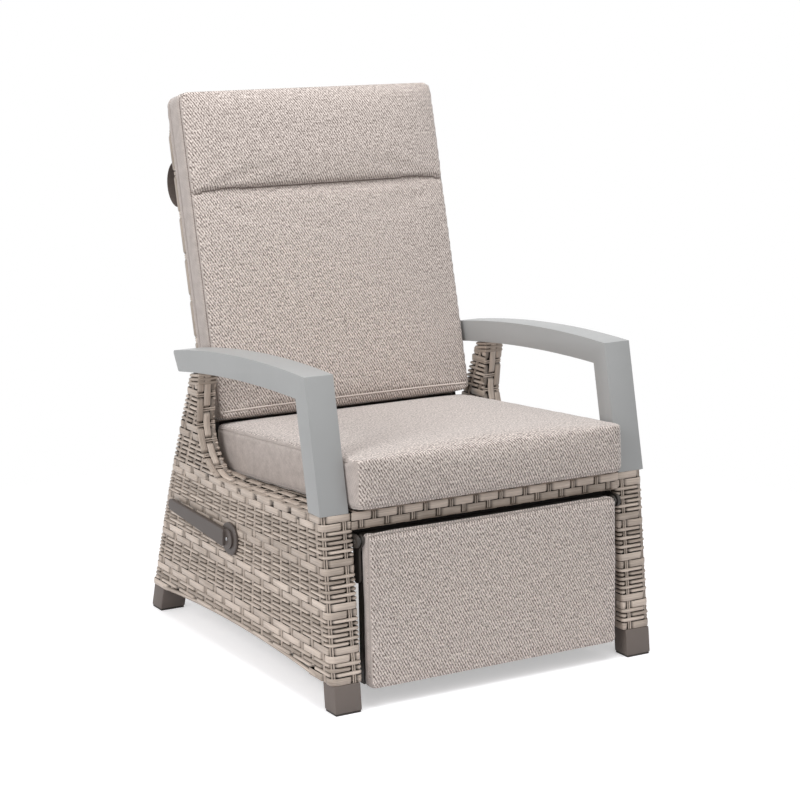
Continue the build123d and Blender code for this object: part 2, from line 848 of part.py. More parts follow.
with BuildPart() as seat_frame:
    with BuildSketch(seat_plane.offset(-deck_thickness)):
        add(seat_frame_shape(0))
    extrude(amount=-seat_tube_height)
    with BuildSketch(seat_plane.offset(-deck_thickness - seat_tube_wall)):
        add(seat_frame_shape(seat_tube_wall))
    extrude(amount=-(seat_tube_height - 2 * seat_tube_wall), mode=Mode.SUBTRACT)
    lug_gap = side_inner_x - seat_frame_half_width
    with BuildSketch(seat_plane.offset(-deck_thickness)):
        for place in seat_lug_places:
            for side, sign in sides:
                lug_inner_x = seat_frame_half_width - seat_tube_wall
                lug_width = side_inner_x - lug_inner_x
                with Locations((sign * (lug_inner_x + lug_width / 2), place)):
                    Rectangle(lug_width, seat_lug_length)
    extrude(amount=-seat_tube_height)
    for side, sign in sides:
        for bolt_y, bolt_z in seat_bolt_points:
            hole_along_x(
                bolt_y,
                bolt_z,
                sign * (seat_frame_half_width - seat_tube - cut_overrun),
                sign * (side_inner_x + cut_overrun),
                seat_bolt + fit_gap,
            )
seat_frame.part.label = "seat_frame"
export_step(seat_frame.part, "parts/seat_frame.step")

# Woven seat deck
with BuildPart() as seat_deck:
    with BuildSketch(seat_plane.offset(-deck_thickness)):
        with Locations((0, (deck_front + deck_rear) / 2)):
            Rectangle(2 * deck_half_width, deck_rear - deck_front)
    extrude(amount=deck_thickness)
seat_deck.part.label = "seat_deck"
export_step(seat_deck.part, "parts/seat_deck.step")

# Woven wrap of the front rail
with BuildPart() as front_rail_weave:
    rail_middle_y = front_rail_y + front_rail_depth / 2
    rail_middle_z = (front_rail_low_z + front_rail_top_z) / 2
    rail_height = front_rail_top_z - front_rail_low_z
    with BuildSketch(side_plane(-front_rail_half_width)):
        with Locations((rail_middle_y, rail_middle_z)):
            Rectangle(front_rail_depth, rail_height)
            Rectangle(
                front_rail_depth - 2 * front_rail_wall, rail_height - 2 * front_rail_wall, mode=Mode.SUBTRACT
            )
    extrude(amount=2 * front_rail_half_width)
    for side, sign in sides:
        slot_x = sign * (front_rail_half_width - seat_tube / 2)
        with Locations((slot_x, front_rail_y + front_rail_depth, rail_middle_z)):
            Box(
                seat_tube + 2 * fit_gap,
                4 * front_rail_wall,
                rail_height - 2 * front_rail_wall,
                mode=Mode.SUBTRACT,
            )
front_rail_weave.part.label = "front_rail_weave"
export_step(front_rail_weave.part, "parts/front_rail_weave.step")

# Rear crossbar between the rear legs, and its woven wrap
with BuildPart() as rear_crossbar:
    with BuildSketch(side_plane(-side_inner_x)):
        with Locations((rear_bar_y, rear_bar_z)):
            Rectangle(rear_bar_depth, rear_bar_height)
            Rectangle(
                rear_bar_depth - 2 * side_tube_wall, rear_bar_height - 2 * side_tube_wall, mode=Mode.SUBTRACT
            )
    extrude(amount=2 * side_inner_x)
    for side, sign in sides:
        cap_x = sign * (side_inner_x - side_tube_wall)
        with BuildSketch(side_plane(cap_x)):
            with Locations((rear_bar_y, rear_bar_z)):
                Rectangle(rear_bar_depth, rear_bar_height)
                Circle((hinge_bolt + fit_gap) / 2, mode=Mode.SUBTRACT)
        extrude(amount=sign * side_tube_wall)
rear_crossbar.part.label = "rear_crossbar"
export_step(rear_crossbar.part, "parts/rear_crossbar.step")

with BuildPart() as rear_crossbar_weave:
    wrap_inner = rear_bar_depth + 2 * rear_bar_weave_gap
    wrap_outer = wrap_inner + 2 * rear_bar_weave_wall
    with BuildSketch(side_plane(-side_inner_x + fit_gap)):
        with Locations((rear_bar_y, rear_bar_z)):
            Rectangle(wrap_outer, wrap_outer)
            Rectangle(wrap_inner, wrap_inner, mode=Mode.SUBTRACT)
    extrude(amount=2 * (side_inner_x - fit_gap))
rear_crossbar_weave.part.label = "rear_crossbar_weave"
export_step(rear_crossbar_weave.part, "parts/rear_crossbar_weave.step")

# Bolts that hold the seat frame and the rear crossbar to the side frames
with BuildPart() as frame_bolts:
    for side, sign in sides:
        tip_x = sign * (side_tube_inner_x + bolt_bite - fit_gap)
        for bolt_y, bolt_z in seat_bolt_points:
            head_x = sign * (seat_frame_half_width - seat_tube - seat_bolt_head_height)
            bolt_along_x(bolt_y, bolt_z, head_x, tip_x, seat_bolt, seat_bolt_head, seat_bolt_head_height)
        bar_head_x = sign * (side_inner_x - side_tube_wall - seat_bolt_head_height)
        bolt_along_x(rear_bar_y, rear_bar_z, bar_head_x, tip_x, hinge_bolt, seat_bolt_head, seat_bolt_head_height)
frame_bolts.part.label = "frame_bolts"
export_step(frame_bolts.part, "parts/frame_bolts.step")

# Hinge plates of the back, on the inner faces of the sides
for side, sign in sides:
    with BuildPart() as hinge_plate:
        with BuildSketch(side_plane(sign * hinge_plate_inner_x)):
            plate_middle_z = (hinge_plate_low_z + hinge_plate_top_z) / 2
            with Locations((hinge_plate_front_y + hinge_plate_depth / 2, plate_middle_z)):
                RectangleRounded(
                    hinge_plate_depth, hinge_plate_top_z - hinge_plate_low_z, hinge_plate_corner
                )
            with Locations((pivot_y, pivot_z)):
                Circle(pivot_bolt / 2 + press_gap, mode=Mode.SUBTRACT)
            with Locations(*hinge_bolt_points):
                Circle(hinge_bolt / 2 + fit_gap, mode=Mode.SUBTRACT)
        extrude(amount=sign * hinge_plate_thickness)
    hinge_plate.part.label = f"hinge_plate_{side}"
    export_step(hinge_plate.part, f"parts/hinge_plate_{side}.step")

with BuildPart() as hinge_plate_bolts:
    for side, sign in sides:
        head_x = sign * (hinge_plate_inner_x - hinge_bolt_head_height)
        tip_x = sign * (side_tube_inner_x + bolt_bite - fit_gap)
        for bolt_y, bolt_z in hinge_bolt_points:
            bolt_along_x(bolt_y, bolt_z, head_x, tip_x, hinge_bolt, hinge_bolt_head, hinge_bolt_head_height)
hinge_plate_bolts.part.label = "hinge_plate_bolts"
export_step(hinge_plate_bolts.part, "parts/hinge_plate_bolts.step")

with BuildPart() as pivot_bolts:
    for side, sign in sides:
        head_x = sign * (crank_plate_outer_x - crank_plate - fit_gap - pivot_bolt_head_height)
        bolt_along_x(
            pivot_y,
            pivot_z,
            head_x,
            sign * side_inner_x,
            pivot_bolt,
            pivot_bolt_head,
            pivot_bolt_head_height,
        )
pivot_bolts.part.label = "pivot_bolts"
export_step(pivot_bolts.part, "parts/pivot_bolts.step")

# Seat cushion
with BuildPart() as seat_cushion:
    crowned_cushion(
        seat_plane.offset(fit_gap),
        seat_cushion_half_width,
        seat_cushion_front,
        seat_cushion_rear,
        seat_edge,
        seat_crown,
        cushion_corner,
        cushion_pull,
        cushion_rim_shares,
    )
seat_cushion.part.label = "seat_cushion"
export_step(seat_cushion.part, "parts/seat_cushion.step")

# Back frame of bent tube with three cross tubes
path_x = back_tube_x
path_top = back_length - back_weave_wall - back_tube / 2


# Bent tube of the back frame as a solid rod of some radius.
def back_rod(radius):
    with BuildPart() as rod:
        with BuildLine(back_plane) as path:
            Polyline(
                (-path_x, -back_tube_tail),
                (-path_x, path_top),
                (path_x, path_top),
                (path_x, -back_tube_tail),
            )
            fillet(path.vertices().sort_by(Axis.Z)[-2:], back_corner)
        with BuildSketch(Plane(origin=path.line @ 0, z_dir=path.line % 0)):
            Circle(radius)
        sweep(path=path.line)
    return rod.part


with BuildPart() as back_frame:
    add(back_rod(back_tube / 2))
    for place in back_cross_places:
        cross_y, cross_z = leaning_point(pivot_y, pivot_z, back_lean, place, 0)
        with BuildSketch(side_plane(-path_x)):
            with Locations((cross_y, cross_z)):
                Circle(back_cross_tube / 2)
        extrude(amount=2 * path_x)
    add(back_rod(back_tube / 2 - back_tube_wall), mode=Mode.SUBTRACT)
    for place in back_cross_places:
        cross_y, cross_z = leaning_point(pivot_y, pivot_z, back_lean, place, 0)
        with BuildSketch(side_plane(-path_x)):
            with Locations((cross_y, cross_z)):
                Circle(back_cross_tube / 2 - back_tube_wall)
        extrude(amount=2 * path_x, mode=Mode.SUBTRACT)
    for side, sign in sides:
        start_x = sign * (path_x - back_tube)
        end_x = sign * (path_x + back_tube)
        hole_along_x(pivot_y, pivot_z, start_x, end_x, bush_outer + 2 * press_gap)
        for place in crank_bolt_places:
            hole_y, hole_z = leaning_point(pivot_y, pivot_z, back_lean, place, 0)
            hole_along_x(hole_y, hole_z, start_x, end_x, crank_bolt + 2 * press_gap)
back_frame.part.label = "back_frame"
export_step(back_frame.part, "parts/back_frame.step")

# Woven cover of the back frame, hollow round the tubes
with BuildPart() as back_weave:
    half_depth = back_tube / 2 + back_weave_wall
    weave_middle = (back_weave_start + back_length) / 2
    with BuildSketch(back_plane.offset(-half_depth)) as weave_face:
        with Locations((0, weave_middle)):
            Rectangle(2 * back_half_width, back_length - back_weave_start)
        fillet(
            weave_face.vertices().sort_by(Axis.Y)[-2:], back_corner + back_tube / 2 + back_weave_wall
        )
    extrude(amount=2 * half_depth)
    room = back_weave_wall - fit_gap
    with BuildSketch(back_plane.offset(-half_depth + room)):
        add(weave_face.sketch_local)
        offset(amount=-room)
    extrude(amount=2 * (half_depth - room), mode=Mode.SUBTRACT)
    for side, sign in sides:
        hole_y, hole_z = leaning_point(pivot_y, pivot_z, back_lean, back_weave_start, 0)
        mouth = Plane(origin=(sign * path_x, hole_y, hole_z), z_dir=back_plane.y_dir)
        with BuildSketch(mouth.offset(-cut_overrun)):
            Circle(back_tube / 2 + fit_gap)
        extrude(amount=2 * cut_overrun, mode=Mode.SUBTRACT)
back_weave.part.label = "back_weave"
export_step(back_weave.part, "parts/back_weave.step")

# Back cushion: a long section and a head section that meet in a sewn channel
with BuildPart() as back_cushion:
    cushion_plane = back_plane.offset(half_depth + fit_gap)
    crowned_cushion(
        cushion_plane,
        back_cushion_half_width,
        back_cushion_start,
        back_channel + channel_overlap,
        back_edge,
        back_crown,
        cushion_corner,
        cushion_pull,
        cushion_rim_shares,
    )
    crowned_cushion(
        cushion_plane,
        back_cushion_half_width,
        back_channel - channel_overlap,
        back_cushion_end,
        back_edge,
        head_crown,
        head_corner,
        cushion_pull,
        cushion_rim_shares,
    )
back_cushion.part.label = "back_cushion"
export_step(back_cushion.part, "parts/back_cushion.step")

# Slack loops of the back cushion's straps behind the frame
with BuildPart() as cushion_straps:
    strap_middle = (strap_low + strap_high) / 2
    strap_plane_angle = math.radians(back_lean)
    for side, sign in sides:
        strap_plane = Plane(
            origin=(sign * (strap_edge_x - strap_width), pivot_y, pivot_z),
            x_dir=(0, -math.cos(strap_plane_angle), math.sin(strap_plane_angle)),
            z_dir=(-1, 0, 0),
        )
        with BuildSketch(strap_plane):
            with BuildLine():
                ThreePointArc(
                    (-half_depth, strap_high),
                    (-half_depth - strap_stand, strap_middle),
                    (-half_depth, strap_low),
                )
                Line((-half_depth, strap_low), (-half_depth, strap_low + 2 * strap_thickness))
                ThreePointArc(
                    (-half_depth, strap_low + 2 * strap_thickness),
                    (-half_depth - strap_stand + strap_thickness, strap_middle),
                    (-half_depth, strap_high - 2 * strap_thickness),
                )
                Line((-half_depth, strap_high - 2 * strap_thickness), (-half_depth, strap_high))
            make_face()
        extrude(amount=-sign * strap_width)
cushion_straps.part.label = "cushion_straps"
export_step(cushion_straps.part, "parts/cushion_straps.step")


# Strip with round ends between two points of a sketch.
def rounded_strip(start, end, width, mode=Mode.ADD):
    run = math.hypot(end[0] - start[0], end[1] - start[1])
    angle = math.degrees(math.atan2(end[1] - start[1], end[0] - start[0]))
    with Locations(((start[0] + end[0]) / 2, (start[1] + end[1]) / 2)):
        SlotCenterToCenter(run, width, rotation=angle, mode=mode)


# Crank plates on the insides of the back frame
for side, sign in sides:
    with BuildPart() as crank_side:
        with BuildSketch(side_plane(sign * (crank_plate_outer_x - crank_plate))):
            top_point = leaning_point(pivot_y, pivot_z, back_lean, crank_plate_top, 0)
            rounded_strip((pivot_y, pivot_z), top_point, crank_plate_width)
            rounded_strip((pivot_y, pivot_z), (crank_y, crank_z), crank_plate_width)
            with Locations((pivot_y, pivot_z)):
                Circle(bush_outer / 2 + press_gap, mode=Mode.SUBTRACT)
            with Locations((crank_y, crank_z)):
                Circle(crank_rod / 2 + press_gap, mode=Mode.SUBTRACT)
            for place in crank_bolt_places:
                with Locations(leaning_point(pivot_y, pivot_z, back_lean, place, 0)):
                    Circle(crank_bolt / 2 + press_gap, mode=Mode.SUBTRACT)
        extrude(amount=sign * crank_plate)
    crank_side.part.label = f"crank_plate_{side}"
    export_step(crank_side.part, f"parts/crank_plate_{side}.step")

with BuildPart() as crank_bolts:
    for side, sign in sides:
        head_x = sign * (crank_plate_outer_x - crank_plate - crank_bolt_head_height)
        for place in crank_bolt_places:
            bolt_y, bolt_z = leaning_point(pivot_y, pivot_z, back_lean, place, 0)
            bolt_along_x(
                bolt_y,
                bolt_z,
                head_x,
                sign * (path_x + back_tube / 2),
                crank_bolt,
                crank_bolt_head,
                crank_bolt_head_height,
            )
crank_bolts.part.label = "crank_bolts"
export_step(crank_bolts.part, "parts/crank_bolts.step")

with BuildPart() as crank_rod_part:
    with BuildSketch(side_plane(-crank_rod_end)):
        with Locations((crank_y, crank_z)):
            Circle(crank_rod / 2)
    extrude(amount=2 * crank_rod_end)
crank_rod_part.part.label = "crank_rod"
export_step(crank_rod_part.part, "parts/crank_rod.step")

# Flanged bushes of the pivot, in the back frame
with BuildPart() as pivot_bushes:
    for side, sign in sides:
        bush_start = crank_plate_outer_x - crank_plate
        bush_end = hinge_plate_inner_x - bush_flange_gap
        flange_start = path_x + back_tube / 2 + bush_flange_gap
        with BuildSketch(side_plane(sign * bush_start)):
            with Locations((pivot_y, pivot_z)):
                Circle(bush_outer / 2)
        extrude(amount=sign * (bush_end - bush_start))
        with BuildSketch(side_plane(sign * flange_start)):
            with Locations((pivot_y, pivot_z)):
                Circle(bush_flange / 2)
        extrude(amount=sign * (bush_end - flange_start))
        hole_along_x(
            pivot_y,
            pivot_z,
            sign * (bush_start - cut_overrun),
            sign * (bush_end + cut_overrun),
            pivot_bolt + 2 * running_gap,
        )
pivot_bushes.part.label = "pivot_bushes"
export_step(pivot_bushes.part, "parts/pivot_bushes.step")

# Link bars, cranked to pass under the lever's shaft
for side, sign in sides:
    with BuildPart() as link_bar:
        with BuildSketch(side_plane(sign * (link_outer_x - link_thickness))):
            rounded_strip((crank_y, crank_z), (link_low_rear_y, link_low_z), link_width)
            rounded_strip((link_low_rear_y, link_low_z), (link_low_front_y, link_low_z), link_width)
            rounded_strip((link_low_front_y, link_low_z), (link_slot_y, link_slot_z), link_width)
            half_travel = link_slot_travel / 2
            rounded_strip(
                (link_slot_y, link_slot_z - half_travel),
                (link_slot_y, link_slot_z + half_travel),
                link_width + link_slot_play / 2,
            )
            with Locations((crank_y, crank_z)):
                Circle(crank_rod / 2 + running_gap, mode=Mode.SUBTRACT)
            rounded_strip(
                (link_slot_y, link_slot_z - half_travel),
                (link_slot_y, link_slot_z + half_travel),
                link_pin + link_slot_play,
                mode=Mode.SUBTRACT,
            )
        extrude(amount=sign * link_thickness)
    link_bar.part.label = f"link_bar_{side}"
    export_step(link_bar.part, f"parts/link_bar_{side}.step")

# Footrest: a sheet behind a frame of flat tube, and the pad in front
frame_back = footrest_back + footrest_backing
frame_face = frame_back + footrest_tube_depth
footrest_middle = (footrest_top + footrest_bottom) / 2
outer_width = 2 * (footrest_half_width - footrest_frame_inset)
outer_height = footrest_top - footrest_bottom - 2 * footrest_frame_inset
with BuildPart() as footrest_frame:
    with BuildSketch(footrest_plane.offset(frame_back)):
        with Locations((0, footrest_middle)):
            Rectangle(outer_width, outer_height)
            Rectangle(outer_width - 2 * footrest_tube, outer_height - 2 * footrest_tube, mode=Mode.SUBTRACT)
        for side, sign in sides:
            with Locations((sign * (link_bracket_outer_x - link_bracket_thickness / 2), footrest_middle)):
                Rectangle(footrest_tube, outer_height)
    extrude(amount=footrest_tube_depth)
footrest_frame.part.label = "footrest_frame"
export_step(footrest_frame.part, "parts/footrest_frame.step")

with BuildPart() as footrest_sheet:
    with BuildSketch(footrest_plane.offset(footrest_back)):
        with Locations((0, footrest_middle)):
            Rectangle(outer_width, outer_height)
    extrude(amount=footrest_backing)
footrest_sheet.part.label = "footrest_sheet"
export_step(footrest_sheet.part, "parts/footrest_sheet.step")

with BuildPart() as footrest_pad:
    pad_rear = frame_face + fit_gap
    crowned_cushion(
        footrest_plane.offset(pad_rear),
        footrest_half_width,
        footrest_bottom,
        footrest_top,
        footrest_face - pad_rear,
        footrest_crown,
        footrest_corner,
        cushion_pull / 2,
        footrest_rim_shares,
    )
footrest_pad.part.label = "footrest_pad"
export_step(footrest_pad.part, "parts/footrest_pad.step")

# Hinge lugs at the footrest's upper corners
lug_inner_x = footrest_half_width + 5 * fit_gap
for side, sign in sides:
    with BuildPart() as footrest_lug:
        with BuildSketch(side_plane(sign * lug_inner_x)):
            reach_y, reach_z = leaning_point(
                footrest_pivot_y, footrest_pivot_z, footrest_tilt, -lug_reach, footrest_back + lug_radius
            )
            knee_y, knee_z = leaning_point(
                footrest_pivot_y, footrest_pivot_z, footrest_tilt, -lug_radius, footrest_back + lug_radius
            )
            rounded_strip((footrest_pivot_y, footrest_pivot_z), (knee_y, knee_z), 2 * lug_radius)
            rounded_strip((knee_y, knee_z), (reach_y, reach_z), 2 * lug_radius)
            with Locations((footrest_pivot_y, footrest_pivot_z)):
                Circle(footrest_pin / 2 + running_gap, mode=Mode.SUBTRACT)
        extrude(amount=sign * lug_thickness)
        frame_edge_x = footrest_half_width - footrest_frame_inset
        low_y, low_z = leaning_point(
            footrest_pivot_y,
            footrest_pivot_z,
            footrest_tilt,
            -lug_reach,
            frame_back + footrest_tube_depth / 2,
        )
        with BuildSketch(side_plane(sign * frame_edge_x)):
            with Locations((low_y, low_z)):
                Circle(footrest_tube_depth / 2 - fit_gap)
        extrude(amount=sign * (lug_inner_x + lug_thickness - frame_edge_x))
    footrest_lug.part.label = f"footrest_lug_{side}"
    export_step(footrest_lug.part, f"parts/footrest_lug_{side}.step")

# Hinge brackets of the footrest on the front legs, with their pins
for side, sign in sides:
    with BuildPart() as footrest_bracket:
        with BuildSketch(side_plane(sign * (leg_inner_x - bracket_thickness))):
            rounded_strip(
                (footrest_pivot_y, footrest_pivot_z),
                (footrest_pivot_y + bracket_reach, footrest_pivot_z),
                2 * bracket_radius,
            )
            with Locations((footrest_pivot_y, footrest_pivot_z)):
                Circle(footrest_pin / 2 + press_gap, mode=Mode.SUBTRACT)
        extrude(amount=sign * bracket_thickness)
    footrest_bracket.part.label = f"footrest_bracket_{side}"
    export_step(footrest_bracket.part, f"parts/footrest_bracket_{side}.step")

with BuildPart() as footrest_pins:
    for side, sign in sides:
        bracket_inner_x = leg_inner_x - bracket_thickness
        with BuildSketch(side_plane(sign * (lug_inner_x + fit_gap))):
            with Locations((footrest_pivot_y, footrest_pivot_z)):
                Circle(footrest_pin / 2)
        extrude(amount=sign * (leg_inner_x - lug_inner_x - fit_gap))
        collar_x = lug_inner_x + lug_thickness + fit_gap
        with BuildSketch(side_plane(sign * collar_x)):
            with Locations((footrest_pivot_y, footrest_pivot_z)):
                Circle(footrest_pin_collar / 2)
        extrude(amount=sign * (bracket_inner_x - collar_x))
footrest_pins.part.label = "footrest_pins"
export_step(footrest_pins.part, "parts/footrest_pins.step")

# Link brackets behind the footrest, with their pins
for side, sign in sides:
    with BuildPart() as link_bracket:
        bracket_x = sign * (link_bracket_outer_x - link_bracket_thickness)
        with BuildSketch(side_plane(bracket_x)):
            root = leaning_point(
                footrest_pivot_y, footrest_pivot_z, footrest_tilt, -link_pin_radius, footrest_back
            )
            rounded_strip((link_pin_y, link_pin_z), (root[0], link_pin_z), link_bracket_width)
            with Locations((link_pin_y, link_pin_z)):
                Circle(link_pin / 2 + press_gap, mode=Mode.SUBTRACT)
        extrude(amount=sign * link_bracket_thickness)
        split(bisect_by=footrest_plane.offset(footrest_back), keep=Keep.BOTTOM)
    link_bracket.part.label = f"link_bracket_{side}"
    export_step(link_bracket.part, f"parts/link_bracket_{side}.step")

with BuildPart() as link_pins:
    for side, sign in sides:
        pin_start = link_bracket_outer_x - link_bracket_thickness
        clip_x = link_outer_x + fit_gap
        with BuildSketch(side_plane(sign * pin_start)):
            with Locations((link_pin_y, link_pin_z)):
                Circle(link_pin / 2)
        extrude(amount=sign * (clip_x + link_pin_clip_thickness - pin_start))
        with BuildSketch(side_plane(sign * clip_x)):
            with Locations((link_pin_y, link_pin_z)):
                Circle(link_pin_clip / 2)
        extrude(amount=sign * link_pin_clip_thickness)
link_pins.part.label = "link_pins"
export_step(link_pins.part, "parts/link_pins.step")

# Locking gas spring: cylinder with its head and rod guide
gas_rear_y = gas_front_y + gas_length


# Plane across the gas spring at a place along Y, looking to the rear.
def gas_plane(y):
    return Plane(origin=(0, y, gas_axis_z), x_dir=(1, 0, 0), z_dir=(0, 1, 0))


with BuildPart() as gas_cylinder_part:
    with BuildSketch(gas_plane(gas_front_y)):
        Circle(gas_cylinder / 2)
    extrude(amount=gas_length)
    with BuildSketch(gas_plane(gas_front_y + gas_head)):
        Circle(gas_cylinder / 2 - gas_wall)
    extrude(amount=gas_length - gas_head - gas_guide, mode=Mode.SUBTRACT)
    with BuildSketch(gas_plane(gas_rear_y - gas_guide)):
        Circle(gas_rod / 2 + running_gap)
    extrude(amount=gas_guide, mode=Mode.SUBTRACT)
    with BuildSketch(gas_plane(gas_front_y)):
        Circle(release_pin / 2 + running_gap)
    extrude(amount=gas_head, mode=Mode.SUBTRACT)
gas_cylinder_part.part.label = "gas_cylinder"
export_step(gas_cylinder_part.part, "parts/gas_cylinder.step")

eye_front_y = crank_y - crank_rod / 2 - gas_eye_play / 2 - gas_eye_wall
piston_rear_y = gas_rear_y - gas_guide - fit_gap
with BuildPart() as gas_rod_part:
    with BuildSketch(gas_plane(piston_rear_y - gas_piston)):
        Circle(gas_cylinder / 2 - gas_wall - gas_piston_gap)
    extrude(amount=gas_piston)
    with BuildSketch(gas_plane(piston_rear_y - gas_piston)):
        Circle(gas_rod / 2)
    extrude(amount=eye_front_y - piston_rear_y + gas_piston)
gas_rod_part.part.label = "gas_rod"
export_step(gas_rod_part.part, "parts/gas_rod.step")

with BuildPart() as gas_rod_eye:
    eye_low_z = crank_low_z
    eye_travel = crank_z - crank_low_z
    eye_slot = crank_rod + gas_eye_play
    with BuildSketch(side_plane(-gas_eye_width / 2)):
        rounded_strip((crank_y, eye_low_z), (crank_y, crank_z), eye_slot + 2 * gas_eye_wall)
    extrude(amount=gas_eye_width)
    with BuildSketch(gas_plane(eye_front_y - gas_neck_length + gas_eye_wall)):
        Circle(gas_neck / 2)
    extrude(amount=gas_neck_length)
    with BuildSketch(side_plane(-gas_eye_width)):
        rounded_strip((crank_y, eye_low_z), (crank_y, crank_z), eye_slot)
    extrude(amount=2 * gas_eye_width, mode=Mode.SUBTRACT)
    with BuildSketch(gas_plane(eye_front_y)):
        Circle(gas_rod / 2 + press_gap)
    extrude(amount=-gas_neck_length, mode=Mode.SUBTRACT)
gas_rod_eye.part.label = "gas_rod_eye"
export_step(gas_rod_eye.part, "parts/gas_rod_eye.step")

# Release pin in the cylinder's head
pin_front_y = gas_front_y - release_travel - release_spare
with BuildPart() as release_pin_part:
    with BuildSketch(gas_plane(pin_front_y)):
        Circle(release_pin / 2)
    extrude(amount=gas_front_y + gas_head - release_travel - fit_gap - pin_front_y)
release_pin_part.part.label = "release_pin"
export_step(release_pin_part.part, "parts/release_pin.step")

# Hangers that carry the cylinder under the seat frame
seat_frame_under = seat_plane.offset(-deck_thickness - seat_tube_height)
with BuildPart() as gas_hangers:
    for place in hanger_places_y:
        web_height = seat_front_z - gas_axis_z
        with BuildSketch(gas_plane(place - hanger_length / 2)):
            Circle(hanger_ring / 2)
            with Locations((0, -web_height / 2)):
                Rectangle(hanger_width, web_height)
            Circle(gas_cylinder / 2 + press_gap, mode=Mode.SUBTRACT)
        extrude(amount=hanger_length)
    split(bisect_by=seat_frame_under, keep=Keep.BOTTOM)
gas_hangers.part.label = "gas_hangers"
export_step(gas_hangers.part, "parts/gas_hangers.step")

# Hanger at the inner end of the lever's shaft
with BuildPart() as shaft_hanger:
    with BuildSketch(side_plane(shaft_hanger_x)):
        rounded_strip((lever_y, lever_z), (lever_y, seat_front_z), shaft_hanger_width)
        with Locations((lever_y, lever_z)):
            Circle(shaft_diameter / 2 + running_gap, mode=Mode.SUBTRACT)
    extrude(amount=shaft_hanger_thickness)
    split(bisect_by=seat_frame_under, keep=Keep.BOTTOM)
shaft_hanger.part.label = "shaft_hanger"
export_step(shaft_hanger.part, "parts/shaft_hanger.step")

# Rosette of the lever on the right side's outer face
rosette_inner_x = -side_outer_x - fit_gap
rosette_outer_x = rosette_inner_x - rosette_thickness
with BuildPart() as lever_rosette:
    with BuildSketch(side_plane(rosette_inner_x)):
        with Locations((lever_y, lever_z)):
            Circle(rosette_diameter / 2)
    extrude(amount=-rosette_thickness)
    fillet(lever_rosette.edges().group_by(Axis.X)[0], rosette_rounding)
    with BuildSketch(side_plane(rosette_inner_x)):
        with Locations((lever_y, lever_z)):
            Circle(rosette_boss / 2)
    extrude(amount=rosette_boss_length)
    hole_along_x(
        lever_y,
        lever_z,
        rosette_outer_x - cut_overrun,
        rosette_inner_x + rosette_boss_length + cut_overrun,
        shaft_diameter + 2 * running_gap,
    )
lever_rosette.part.label = "lever_rosette"
export_step(lever_rosette.part, "parts/lever_rosette.step")

# Lever shaft with a square tang and a threaded end
hub_inner_x = rosette_outer_x - fit_gap
with BuildPart() as lever_shaft:
    with BuildSketch(side_plane(hub_inner_x)):
        with Locations((lever_y, lever_z)):
            Circle(shaft_diameter / 2)
    extrude(amount=shaft_inner_x - hub_inner_x)
    with BuildSketch(side_plane(hub_inner_x)):
        with Locations((lever_y, lever_z)):
            Rectangle(shaft_tang, shaft_tang)
    extrude(amount=-shaft_tang_length)
    hole_along_x(
        lever_y,
        lever_z,
        hub_inner_x - shaft_tang_length - cut_overrun,
        hub_inner_x + lever_screw_length,
        lever_screw + 2 * press_gap,
    )
lever_shaft.part.label = "lever_shaft"
export_step(lever_shaft.part, "parts/lever_shaft.step")

# Lever handle: a flat hub and a tapering grip
hub_outer_x = hub_inner_x - hub_thickness
grip_plane_angle = math.radians(grip_rise)


# Point of the grip in (y, z), from its place along the grip and its stand above it.
def grip_point(along, above):
    return (
        lever_y + along * math.cos(grip_plane_angle) - above * math.sin(grip_plane_angle),
        lever_z + along * math.sin(grip_plane_angle) + above * math.cos(grip_plane_angle),
    )


with BuildPart() as lever_handle:
    with BuildSketch(side_plane(-grip_outer_x)) as grip_face:
        with BuildLine():
            Polyline(
                grip_point(grip_start, grip_root_height / 2),
                grip_point(grip_length, grip_tip_height / 2),
                grip_point(grip_length, -grip_tip_height / 2),
                grip_point(grip_start, -grip_root_height / 2),
                close=True,
            )
        make_face()
        fillet(grip_face.vertices(), grip_corner)
    extrude(amount=grip_outer_x + hub_inner_x)
    fillet(lever_handle.edges().group_by(Axis.X)[0], grip_edge)
    with BuildSketch(side_plane(hub_inner_x)):
        with Locations((lever_y, lever_z)):
            Circle(hub_diameter / 2)
    extrude(amount=-hub_thickness)
    with BuildSketch(side_plane(hub_inner_x)):
        with Locations((lever_y, lever_z)):
            Rectangle(shaft_tang + 2 * press_gap, shaft_tang + 2 * press_gap)
    extrude(amount=-shaft_tang_length - press_gap, mode=Mode.SUBTRACT)
    hole_along_x(
        lever_y, lever_z, hub_outer_x - cut_overrun, hub_inner_x + cut_overrun, lever_screw + fit_gap
    )
    with BuildSketch(side_plane(hub_outer_x)):
        with Locations((lever_y, lever_z)):
            Circle(lever_screw_head / 2 + fit_gap)
    extrude(amount=-cut_overrun, mode=Mode.SUBTRACT)
lever_handle.part.label = "lever_handle"
export_step(lever_handle.part, "parts/lever_handle.step")

with BuildPart() as lever_screw_part:
    head_x = hub_outer_x - lever_screw_head_height
    bolt_along_x(
        lever_y,
        lever_z,
        head_x,
        hub_inner_x + lever_screw_length - fit_gap,
        lever_screw,
        lever_screw_head,
        lever_screw_head_height,
    )
lever_screw_part.part.label = "lever_screw"
export_step(lever_screw_part.part, "parts/lever_screw.step")

# Finger on the shaft that presses the release pin
nose_y = pin_front_y - fit_gap - finger_nose / 2
nose_z = gas_axis_z
with BuildPart() as lever_finger:
    with BuildSketch(side_plane(-finger_width / 2)):
        with Locations((lever_y, lever_z)):
            Circle(finger_hub / 2)
        rounded_strip((lever_y, lever_z), (nose_y, nose_z), finger_nose)
        with Locations((lever_y, lever_z)):
            Circle(shaft_diameter / 2 + press_gap, mode=Mode.SUBTRACT)
    extrude(amount=finger_width)
lever_finger.part.label = "lever_finger"
export_step(lever_finger.part, "parts/lever_finger.step")
